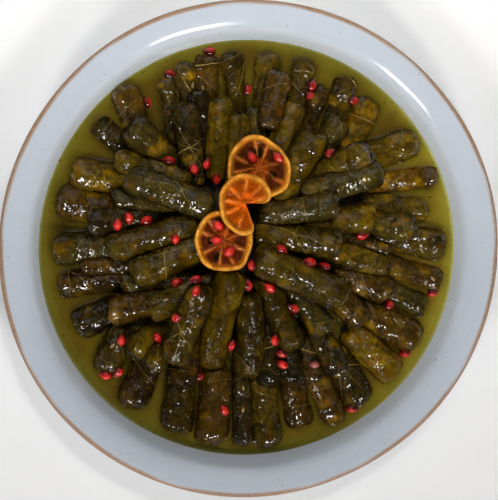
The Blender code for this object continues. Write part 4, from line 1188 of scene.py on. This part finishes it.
print("skins of nine segments, in degrees:", np.degrees(rays(52, 9, 3)).round())

# %% Colours of a slice
PEEL, PEEL_HIGHLIGHT, PEEL_BROWNED = (0.66, 0.24, 0.012), (0.90, 0.50, 0.11), (0.50, 0.145, 0.006)
PEEL_INSIDE, PITH, HOLE_PAINTED_DARK = (0.38, 0.115, 0.008), (0.60, 0.27, 0.060), (0.012, 0.008, 0.002)


def flesh_colour(flesh, far, plan, apart, fleshy, pulp, whole, seed):
    """Flesh in drops and clouds, darkest in the middle of a segment, where it is clear."""
    colour = blend(flesh, flesh * 0.35, ramp(pulp, -0.4, 1.4) * 0.8)
    colour = blend(colour, flesh * 1.6, ramp(waves(plan, 9, seed + 5), 0.0, 1.3) * 0.7)
    clear = flesh * (0.18 if whole else 0.45)
    colour = blend(colour, clear, ramp(apart, 0.8, 2.2) * ramp(far, 5, 9))
    return blend(colour, flesh * 0.30, 0.6 * ramp(waves(plan, 4.5, seed + 6), 0.1, 1.5) * fleshy)


def peel_colour(colour, far, reach, peel, plan, seed):
    """Soaked pith, then peel that has browned in blotches, with a painted highlight along its
    crest.
    """
    colour = blend(colour, PEEL_INSIDE, ramp(far, reach - 5.4, reach - 3.6) * 0.75)
    colour = blend(colour, PEEL, peel)
    browned = peel * ramp(waves(plan, 11, seed + 8), -0.2, 1.6)
    colour = blend(colour, PEEL_BROWNED, 0.8 * browned)
    # Painted highlight: a pale band along the peel's crest.
    lit = np.exp(-((reach - far - 1.3) / 0.7) ** 2)
    return blend(colour, PEEL_HIGHLIGHT, peel * 0.5 * lit * (1 - 0.7 * browned))


print("peel:", PEEL, "and where it has browned:", PEEL_BROWNED)

# %% Skin of a slice
def slice_skin(drape, sweep, skins, holes, swells, flesh, seed):
    """A slice's whole skin as a grid, with its colours.

    Skins of the segments stand up as ridges, pulp is waves drawn out along the segments, and
    holes lie deep, painted near black for the dark leaf and its shade seen through them. All of it
    rides on the draped underside.
    """
    angle, reach, way = slice_outline(drape.half, sweep, swells, seed)
    far, height, inset = slice_section(reach)
    whole, flesh = sweep == 360, np.array(flesh)
    plan = far[..., None] * way
    spots = plan + drape.centre
    apart, skin_mark = segment_skins(far, angle, skins)
    fleshy = ramp(inset, 4.2, 5.2) * ramp(reach - far, 4.4, 5.4)
    open_mark = holes_at(spots, holes, seed) * fleshy * (1 - 0.8 * skin_mark)
    grain = np.stack([14 * way[:, 0] + 0 * far, 14 * way[:, 1] + 0 * far, far * 0.35], -1)
    pulp = waves(grain, 3.0, seed + 1)
    upper = (np.arange(len(far)) < FLESH_ROWS + 6)[:, None]
    lift = upper * fleshy * (0.75 * skin_mark + 0.25 * pulp - 1.6 * open_mark)
    lift = lift + 0.12 * waves(plan, 6, seed + 2)
    z = drape.under(spots)[0] + height + lift
    peel = ramp(far, reach - 3.6, reach - 3.0)
    if not whole:
        z = z + 1.6 * np.exp(-(angle / 0.45) ** 2) * ramp(far, 6, 16)
        peel = np.maximum(peel, (1 - ramp(far * angle, 2.2, 3.0)) * ramp(far, 7, 10))
    colour = flesh_colour(flesh, far, plan, apart, fleshy, pulp, whole, seed)
    faint = 0.45 + 0.40 * ramp(waves(plan, 12, seed + 7), -0.8, 0.8)
    colour = blend(colour, PITH, faint * skin_mark * ramp(far, -6, 12))
    colour = peel_colour(colour, far, reach, peel, plan, seed)
    # Painted shade: the holes are coloured near black, for the shaded leaf seen through them.
    colour = blend(colour, HOLE_PAINTED_DARK, open_mark)
    colour = colour * (1 + 0.12 * waves(spots, 7, seed + 4))[..., None]
    return np.concatenate([spots, z[..., None]], -1), colour, whole


print("the flesh lies", round(RIND[:, 1].max() - FLESH_TOP, 2), "mm below the peel's crest")

# %% Closing a slice
def close_slice(grid, colour, whole):
    """Faces of a slice: its grid, its two middles, and the two faces of a cut."""
    rows, columns = grid.shape[:2]
    quads, ends = grid_quads(rows, columns), caps(rows, columns)
    if not whole:
        quads = quads[quads[:, 1] % columns != 0]
        ends = ends[(np.arange(len(ends)) % columns) != columns - 1]
        low, high = np.arange(rows // 2), rows - 1 - np.arange(rows // 2)
        for column in (0, columns - 1):
            face = np.stack([low[:-1], low[1:], high[1:], high[:-1]], -1) * columns + column
            quads = np.vstack([quads, face if column else face[:, ::-1]])
            last = np.array([[low[-1], rows // 2, high[-1]]]) * columns + column
            hub = np.array([[rows * columns, column, rows * columns + 1],
                            [rows * columns + 1, column, (rows - 1) * columns + column]])
            ends = np.vstack([ends, *(t if column else t[:, ::-1] for t in (last, hub))])
    points = np.vstack([grid.reshape(-1, 3), grid[0].mean(0), grid[-1].mean(0)])
    colours = np.vstack([colour.reshape(-1, 3), colour[0].mean(0), colour[-1].mean(0)])
    return points, quads, ends, colours


print("a whole slice has", len(grid_quads(2 * FLESH_ROWS + len(RIND), AROUND)), "quads")

# %% [markdown]
# ## Wet citrus
# Cooked citrus is wet and smooth, and its flesh is half clear: dark in the middle of a segment
# and bright at its skins. The colours of peel, pith, skins and flesh are kept on the mesh. The
# coat bends light less than real juice would, because the wide window behind would otherwise
# lay a grey veil over the flesh.

# %% Finish of the citrus
citrus, tree, shader, spot = start_material("cooked_citrus", Specular_IOR_Level=0.02,
                                            Coat_Roughness=0.03, Coat_IOR=1.28)
tree.links.new(mottle(tree, spot, from_mesh(tree, "colour", "Color"), grains=480, depth=1.1),
               shader.inputs["Base Color"])
film = wet(tree, shader, spot, patches=200, smooth=0.36, dull=0.60)
tree.links.new(calculate(tree, "MULTIPLY", film, 0.7), shader.inputs["Coat Weight"])
pores = add_node(tree, "ShaderNodeTexNoise", {"Vector": spot, "Scale": 520, "Detail": 0})
bump = add_node(tree, "ShaderNodeBump", {"Height": pores.outputs["Fac"], "Strength": 0.9,
                                         "Distance": 0.0009})
for label in ("Normal", "Coat Normal"):
    tree.links.new(bump.outputs["Normal"], shader.inputs[label])
print("citrus nodes:", len(tree.nodes))

# %% [markdown]
# ## The three slices
# Each row gives a slice's solid, its middle, widths and lean, how far round it goes in degrees,
# the skins between its segments, its holes as middle and size, its swells as direction, amount
# and width, and the colour of its flesh. The lowest comes first, because the next ones lie on
# it.

# %% Citrus slices
SLICES = [
    ("citrus_slice_back", (5, 58), (44, 45), (0.05, -0.12), 360, rays(14, 8, 1),
     [(4.8, 68.2, 3.4), (14.4, 53.1, 2.4)], [(49, -0.12, 30), (-45, 0.06, 25), (112, 0.03, 20)],
     (0.40, 0.070, 0.002)),
    ("citrus_slice_left", (-21, 8), (41, 42), (0.10, 0.10), 360, rays(30, 8, 2),
     [(-30.4, 8.5, 2.2), (-25.6, -2.5, 2.6)], [(187, -0.06, 25), (-52, 0.08, 18)],
     (0.38, 0.056, 0.003)),
    ("citrus_slice_top", (-6, 34), (38, 42), (0, 0), 292, rays(52, 9, 3), [],
     [(-97, 0.04, 25)], (0.66, 0.108, 0.0))]
SLICE_WAVES = 900
drapes = []
for number, (name, centre, widths, lean, *drawn) in enumerate(SLICES):
    drapes.append(Drape(centre, widths, lean, drapes[:number]))
    points, quads, triangles, colour = close_slice(*slice_skin(
        drapes[-1], *drawn, SLICE_WAVES + 10 * number))
    make_piece(name + "_cooked", points, quads, triangles, citrus, [name], colour)
    solid = [round(corner.z / MM, 1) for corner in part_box(name)]
    print(name, "lies from", points[:, 2].min().round(1), "to", points[:, 2].max().round(1),
          "mm, its solid from", solid[0], "to", solid[1])

# %% [markdown]
# ## Pomegranate seeds
# A seed is a drop with a small stub where it hung in the fruit. Each one sinks a little into
# the roll that holds it highest and is pushed clear of the others, by the rule that placed
# it in the CAD model. On a slice it sinks a little deeper, into soft flesh. A row gives the
# spot on the plan and the bearing of the tip in degrees. One formula makes all seeds, and they
# are joined into one piece.

# %% Seed places
SEED_LENGTH, SEED_GIRTH, SEED_BITE, FLESH_BITE = 9.0, 6.6, 1.2, 0.8
NUDGES = 40
SEEDS = [
    (-27, 139, 0), (-55, 123, 0), (-70, 103, 100), (0, 112, 60), (-57, 64, 10), (-40, 56, 105),
    (-31, 60, 90), (-24, 50, 90), (45, 115, 60), (43, 108, 30), (75, 104, 0), (55, 68, 90),
    (-93, 19, 90), (-85, 23, 95), (-73, 22, 30), (-53, 9, 90), (-1, -9, 100), (20, 2, 145),
    (40, -7, 170), (51, -10, 120), (79, 9, 0), (-52, -21, 60), (-40, -18, 160), (-40, -26, 70),
    (-53, -45, 0), (-66, -61, 130), (-3, -23, 135), (12, -25, 140), (-14, -66, 80),
    (16, -62, 65), (21, -72, 0), (22, -80, 150), (-35, -88, 0), (29, -40, 175), (45, -81, 0),
    (100, -40, 60), (132, -33, 30), (112, -76, 45), (-90, -63, 80), (-101, -88, 0),
    (-92, -86, 50), (-18, -113, 120), (74, -115, 20)]
ON_SLICES = [(0, (0, 65, 120)), (0, (18, 65, 135)), (1, (-25, 19, 135)), (1, (-26, 9, 0)),
             (1, (-17, 1, 45))]
PALE_SEED = (45, -81, 0)


def away_from(roll, point):
    """The step from a roll's middle line to a point."""
    span = roll.end - roll.start
    share = np.clip((point - roll.start) @ span / (span @ span), 0, 1)
    return point - roll.start - share * span


def lay_seed(place):
    """Middle and upright of a seed on the roll that holds it highest."""
    small, spot = SEED_GIRTH / 2, np.array(place[:2], float)
    found = []
    for roll in rolls:
        apart, height = roll.apart(spot)
        reach = roll.radius + small
        if apart < reach:
            found.append((float(height + math.sqrt(reach ** 2 - apart ** 2)), roll))
    top, carrier = max(found, key=lambda item: item[0])
    middle = np.append(spot, top - SEED_BITE)
    for _ in range(NUDGES):
        for roll in [carrier] + [r for r in rolls if r is not carrier]:
            step = away_from(roll, middle)
            away = np.linalg.norm(step)
            gap = away - roll.radius
            if roll is carrier:
                middle = middle + step / away * (small - SEED_BITE - gap) * 0.5
            elif gap < small + GAP:
                middle = middle + step / away * (small + GAP - gap) * 0.5
    step = away_from(carrier, middle)
    return middle, step / np.linalg.norm(step)


def lay_on_slice(number, place):
    """Middle and upright of a seed on a slice, from the slopes of its upper face."""
    near = np.array(place[:2]) + np.array([(0, 0), (1, 0), (0, 1)])
    here, right, back = drapes[number].top(near)
    normal = np.array([here - right, here - back, 1.0])
    return np.array([*place[:2], here + SEED_GIRTH / 2 - SEED_BITE - FLESH_BITE]), \
        normal / np.linalg.norm(normal)


print("seeds on rolls:", len(SEEDS), "and on slices:", len(ON_SLICES))

# %% A drop
def drop(sides, stations, seed):
    """A drop along X: a ball whose front narrows, with a short stub and faint flats.

    Its girth is the sine of the way from tip to tip, less a share that grows with the power
    1.3 of the way to the front, plus a narrow bell curve for the stub.
    """
    rise = np.linspace(0, math.pi, stations)[1:-1, None]
    angle = np.linspace(0, 2 * math.pi, sides, endpoint=False)
    x = -np.cos(rise)
    girth = np.sin(rise) * (1 - 0.36 * np.clip(x, 0, 1) ** 1.3)
    girth = girth + 0.10 * np.exp(-((x - 0.97) / 0.06) ** 2)
    flats = 1 + 0.035 * np.cos(3 * angle + seed) + 0.02 * np.cos(5 * angle + 2 * seed)
    long = x + 0.10 * ramp(x, 0.9, 1.0)
    return np.stack([long * SEED_LENGTH / 2 + 0 * angle, girth * flats * np.cos(angle)
                     * SEED_GIRTH / 2, girth * flats * np.sin(angle) * SEED_GIRTH / 2], -1)


def directions(turn, normal):
    """Three square directions, the first as near to a bearing as the upright allows."""
    long_side = np.array([math.cos(turn), math.sin(turn), 0.0])
    long_side -= normal * (long_side @ normal)
    long_side /= np.linalg.norm(long_side)
    return np.stack([long_side, np.cross(normal, long_side), normal])


print("a drop's grid:", drop(18, 15, 0).shape[:2])

# %% All things of one kind as one piece
def strew(name, things, finish):
    """One piece from closed grids, each turned to directions of its own and set down."""
    points, quads, ends, colours, held = [], [], [], [], 0
    for shape, colour, middle, basis in things:
        rows, sides = shape.shape[:2]
        tips = shape[[0, -1]].mean(1)
        points += [middle + shape.reshape(-1, 3) @ basis, middle + tips @ basis]
        quads.append(grid_quads(rows, sides) + held)
        ends.append(caps(rows, sides) + held)
        colours += [colour, colour[[0, -1]]]
        held += rows * sides + 2
    make_piece(name, np.vstack(points), np.vstack(quads), np.vstack(ends), finish,
               colour=np.vstack(colours))
    print(name, len(things), "triangles:", 2 * sum(map(len, quads)) + sum(map(len, ends)))


print("directions of a seed that lies flat:", directions(0.0, np.array([0.0, 0.0, 1.0])).tolist())

# %% [markdown]
# ## What a seed looks like
# The juicy skin is clear and very glossy. Its crown has a painted glow, a brighter red for
# light that shines through it, and its flanks are painted darker, as shade where it touches the
# leaf. A little light is carried on under the skin. Each seed has a red of its own, and those at
# the back are painted darker, as shade away from the front lamps.

# %% Seed finish
seed_gloss, tree, shader, spot = start_material(
    "pomegranate", IOR=1.42, Specular_IOR_Level=0.2, Subsurface_Weight=0.15,
    Subsurface_Scale=0.003, Coat_Weight=1.0, Coat_Roughness=0.04, Coat_IOR=1.7)
shader.inputs["Subsurface Radius"].default_value = (1.0, 0.12, 0.12)
tree.links.new(mottle(tree, spot, from_mesh(tree, "colour", "Color"), grains=500, depth=0.7),
               shader.inputs["Base Color"])
wet(tree, shader, spot, patches=300, smooth=0.06, dull=0.2)
print("seed nodes:", len(tree.nodes))

# %% All the seeds
SEED_RED, PALE_RED, STUB_RED = (0.68, 0.009, 0.007), (0.42, 0.12, 0.10), (0.55, 0.16, 0.12)
GLOW_RED_PAINTED = (0.90, 0.055, 0.025)
laid = [(place, *lay_seed(place)) for place in SEEDS]
laid += [(place, *lay_on_slice(number, place)) for number, place in ON_SLICES]
pick = np.random.default_rng(31)
seeds = []
for number, (place, middle, normal) in enumerate(laid):
    shape = drop(18, 15, number) * pick.uniform(0.92, 1.08)
    turn = math.radians(place[2]) + (math.pi if pick.uniform() < 0.3 else 0)
    local = shape.reshape(-1, 3)
    # Painted shade: seeds at the back are made darker.
    pale, back = place == PALE_SEED, ramp(place[1], 40, 120)
    red = np.array(SEED_RED) * pick.uniform(0.55, 1.15) * (1 - 0.5 * back)
    stub = ramp(local[:, 0] / SEED_LENGTH * 2, 0.86, 1.0)
    colour = blend(PALE_RED if pale else red, STUB_RED, 0.8 * stub)
    # Painted shade: the flanks darken towards the leaf below.
    colour = colour * (0.16 + 0.84 * ramp(local[:, 2] / SEED_GIRTH * 2, 0.05, 0.95))[:, None]
    # Painted glow: a brighter red on the crown, for light shining through the skin.
    painted_glow = np.exp(-((local[:, 0] / 2.6) ** 2 + (local[:, 1] / 1.6) ** 2)) * (local[:, 2] > 0)
    colour = blend(colour, GLOW_RED_PAINTED, 0.7 * painted_glow * (not pale) * (1 - 0.6 * back))
    seeds.append((shape, colour, middle, directions(turn, normal)))
strew("pomegranate_seeds", seeds, seed_gloss)

# %% [markdown]
# ## Stalk stubs
# Here and there a pale stub of a leaf's stalk has been left on. A stub is a small narrow drop,
# laid along the highest leaf under it and sunk to its middle.

# %% Stalk stubs
STUBS = [(-32, 113, 100), (-39, 115, 70), (-48, -92, 60), (-4, -98, 100), (-4, -114, 75),
         (131, -22, 130), (-60, -33, 20), (-96, -67, 40)]
STALK, STUB_SHARE = (0.30, 0.215, 0.085), (0.5, 0.32, 0.32)
stalk, tree, shader, spot = start_material("leaf_stalk", Roughness=0.45)
tree.links.new(mottle(tree, spot, from_mesh(tree, "colour", "Color"), grains=600, depth=0.8),
               shader.inputs["Base Color"])
stubs = []
for number, (x, y, bearing) in enumerate(STUBS):
    near = np.array([(x, y), (x + 1, y), (x, y + 1)], float)
    here, right, back = np.max([roll.top(near) for roll in rolls], axis=0)
    normal = np.array([here - right, here - back, 1.0])
    shape = drop(10, 9, number) * STUB_SHARE
    colour = np.full((shape.size // 3, 3), STALK)
    # Painted shade: each stub is darker on its underside.
    colour = colour * (0.6 + 0.4 * ramp(shape.reshape(-1, 3)[:, 2], -0.5, 0.8))[:, None]
    stubs.append((shape, colour, np.array([x, y, here + 0.5]),
                  directions(math.radians(bearing), normal / np.linalg.norm(normal))))
strew("stalk_stubs", stubs, stalk)

# %% [markdown]
# ## The broth
# The broth is a thin green pool. Its surface is a fine ring-shaped grid that climbs a little
# where it wets the wall and the rolls, and those small climbs catch the light. It looks
# yellow green where it is thin and browner where it is deep. It is painted darker beside a
# roll, as the roll's shade, and dark where one small roll lies sunk in it. It is painted
# lightest on the right, as light there. The outer edge reaches just into the wall, so that no
# gap of air shows.

# %% Surface of the broth
RINGS, SPOKES_ROUND, MIDDLE_RADIUS = 78, 700, 66
wall = float(wall_radius(LEVEL))
radii = np.linspace(MIDDLE_RADIUS, wall + 0.5, RINGS)
angle = np.linspace(0, 2 * math.pi, SPOKES_ROUND, endpoint=False)
plan = np.stack([radii[:, None] * np.cos(angle), radii[:, None] * np.sin(angle)], -1)
near_roll = np.full(plan.shape[:2], FAR_OFF)
for roll in rolls:
    if min(roll.start[2], roll.end[2]) - roll.radius < LEVEL + 1:
        away, height = roll.apart(plan)
        cut = np.sqrt(np.clip(roll.radius ** 2 - (height - LEVEL) ** 2, 0, None))
        near_roll = np.minimum(near_roll, np.where(np.abs(height - LEVEL) < roll.radius,
                                                   away - cut, FAR_OFF))
near_wall = wall - radii[:, None] + 0 * angle
beside_roll, beside_wall = np.clip(near_roll, 0, None), np.clip(near_wall, 0, None)
climb = 0.6 * np.exp(-beside_roll / 0.8) + 0.7 * np.exp(-beside_wall / 1.0)
height = LEVEL + climb + 0.10 * waves(plan, 16, 71) + 0.04 * waves(plan, 5, 72)
print("the broth climbs by up to", round(float(climb.max()), 1), "mm")

# %% Colours of the broth
THIN, DEEP, SHADED = (0.140, 0.121, 0.013), (0.110, 0.081, 0.0060), (0.086, 0.050, 0.0050)
STEEPED, AT_WALL, BELOW = (0.110, 0.066, 0.0060), (0.24, 0.23, 0.07), (0.08, 0.06, 0.005)
SUNK_ROLL, SUNK_SIZE = (-129, 17), (10, 5)
deep = ramp(near_wall, -1, 11)
# Painted shade: the broth is darker beside each roll.
shadow = 1 - 0.52 * np.exp(-beside_roll / 2.8)
sunk = np.exp(-(((plan - SUNK_ROLL) / SUNK_SIZE) ** 2).sum(-1))
shadow = shadow * (1 - 0.6 * sunk)
# Painted light: the broth is lighter on the right.
painted_light_on_right = 1 + 0.75 * ramp(plan[..., 0] + 0.2 * np.clip(-plan[..., 1], 0, None), 75, 135)
colour = blend(THIN, DEEP, deep)
colour = blend(colour, SHADED, ramp(waves(plan, 40, 73), 0.0, 1.4) * deep)
colour = blend(colour, STEEPED, 0.55 * deep * np.exp(-beside_roll / 7)
               * ramp(waves(plan, 22, 74), -1.2, 0.6))
colour = blend(colour, AT_WALL, 1 - ramp(near_wall, -0.4, 1.6))
colour = colour * (shadow * painted_light_on_right)[..., None]
print("mean colour of the broth:", colour.mean((0, 1)).round(3))

# %% Finish of the broth
PEPPER = (0.025, 0.016, 0.002, 1)
broth_film, tree, shader, spot = start_material("broth_film", IOR=1.38)
cloudy = mottle(tree, spot, from_mesh(tree, "colour", "Color"), grains=120, depth=0.35)
specked = place_group(tree, flecks, {
    "Vector": spot, "Colour": cloudy, "Fleck colour": PEPPER, "Flecks per metre": 520,
    "Noise at their edge": 0.70, "Noise inside": 0.75})["Colour"]
tree.links.new(specked, shader.inputs["Base Color"])
wet(tree, shader, spot, patches=60, smooth=0.03, dull=0.07)
print("broth nodes:", len(tree.nodes))

# %% The pool
top = np.concatenate([plan, height[..., None]], -1)
line = np.array([(146.6, 19), (144, 15), (139, 11.3), (131, 9.2), (MIDDLE_RADIUS, 9.2)])
under, _ = turn_round(line, SPOKES_ROUND)
broth = np.vstack([top.reshape(-1, 3), under.reshape(-1, 3)])
colour = np.vstack([colour.reshape(-1, 3), np.full((under.size // 3, 3), BELOW)])
make_piece("broth_pool", broth, grid_quads(RINGS + len(line), SPOKES_ROUND, round_rows=True),
           (), broth_film, ["broth"], colour)
print("broth:", len(broth), "points, level", LEVEL, "mm")
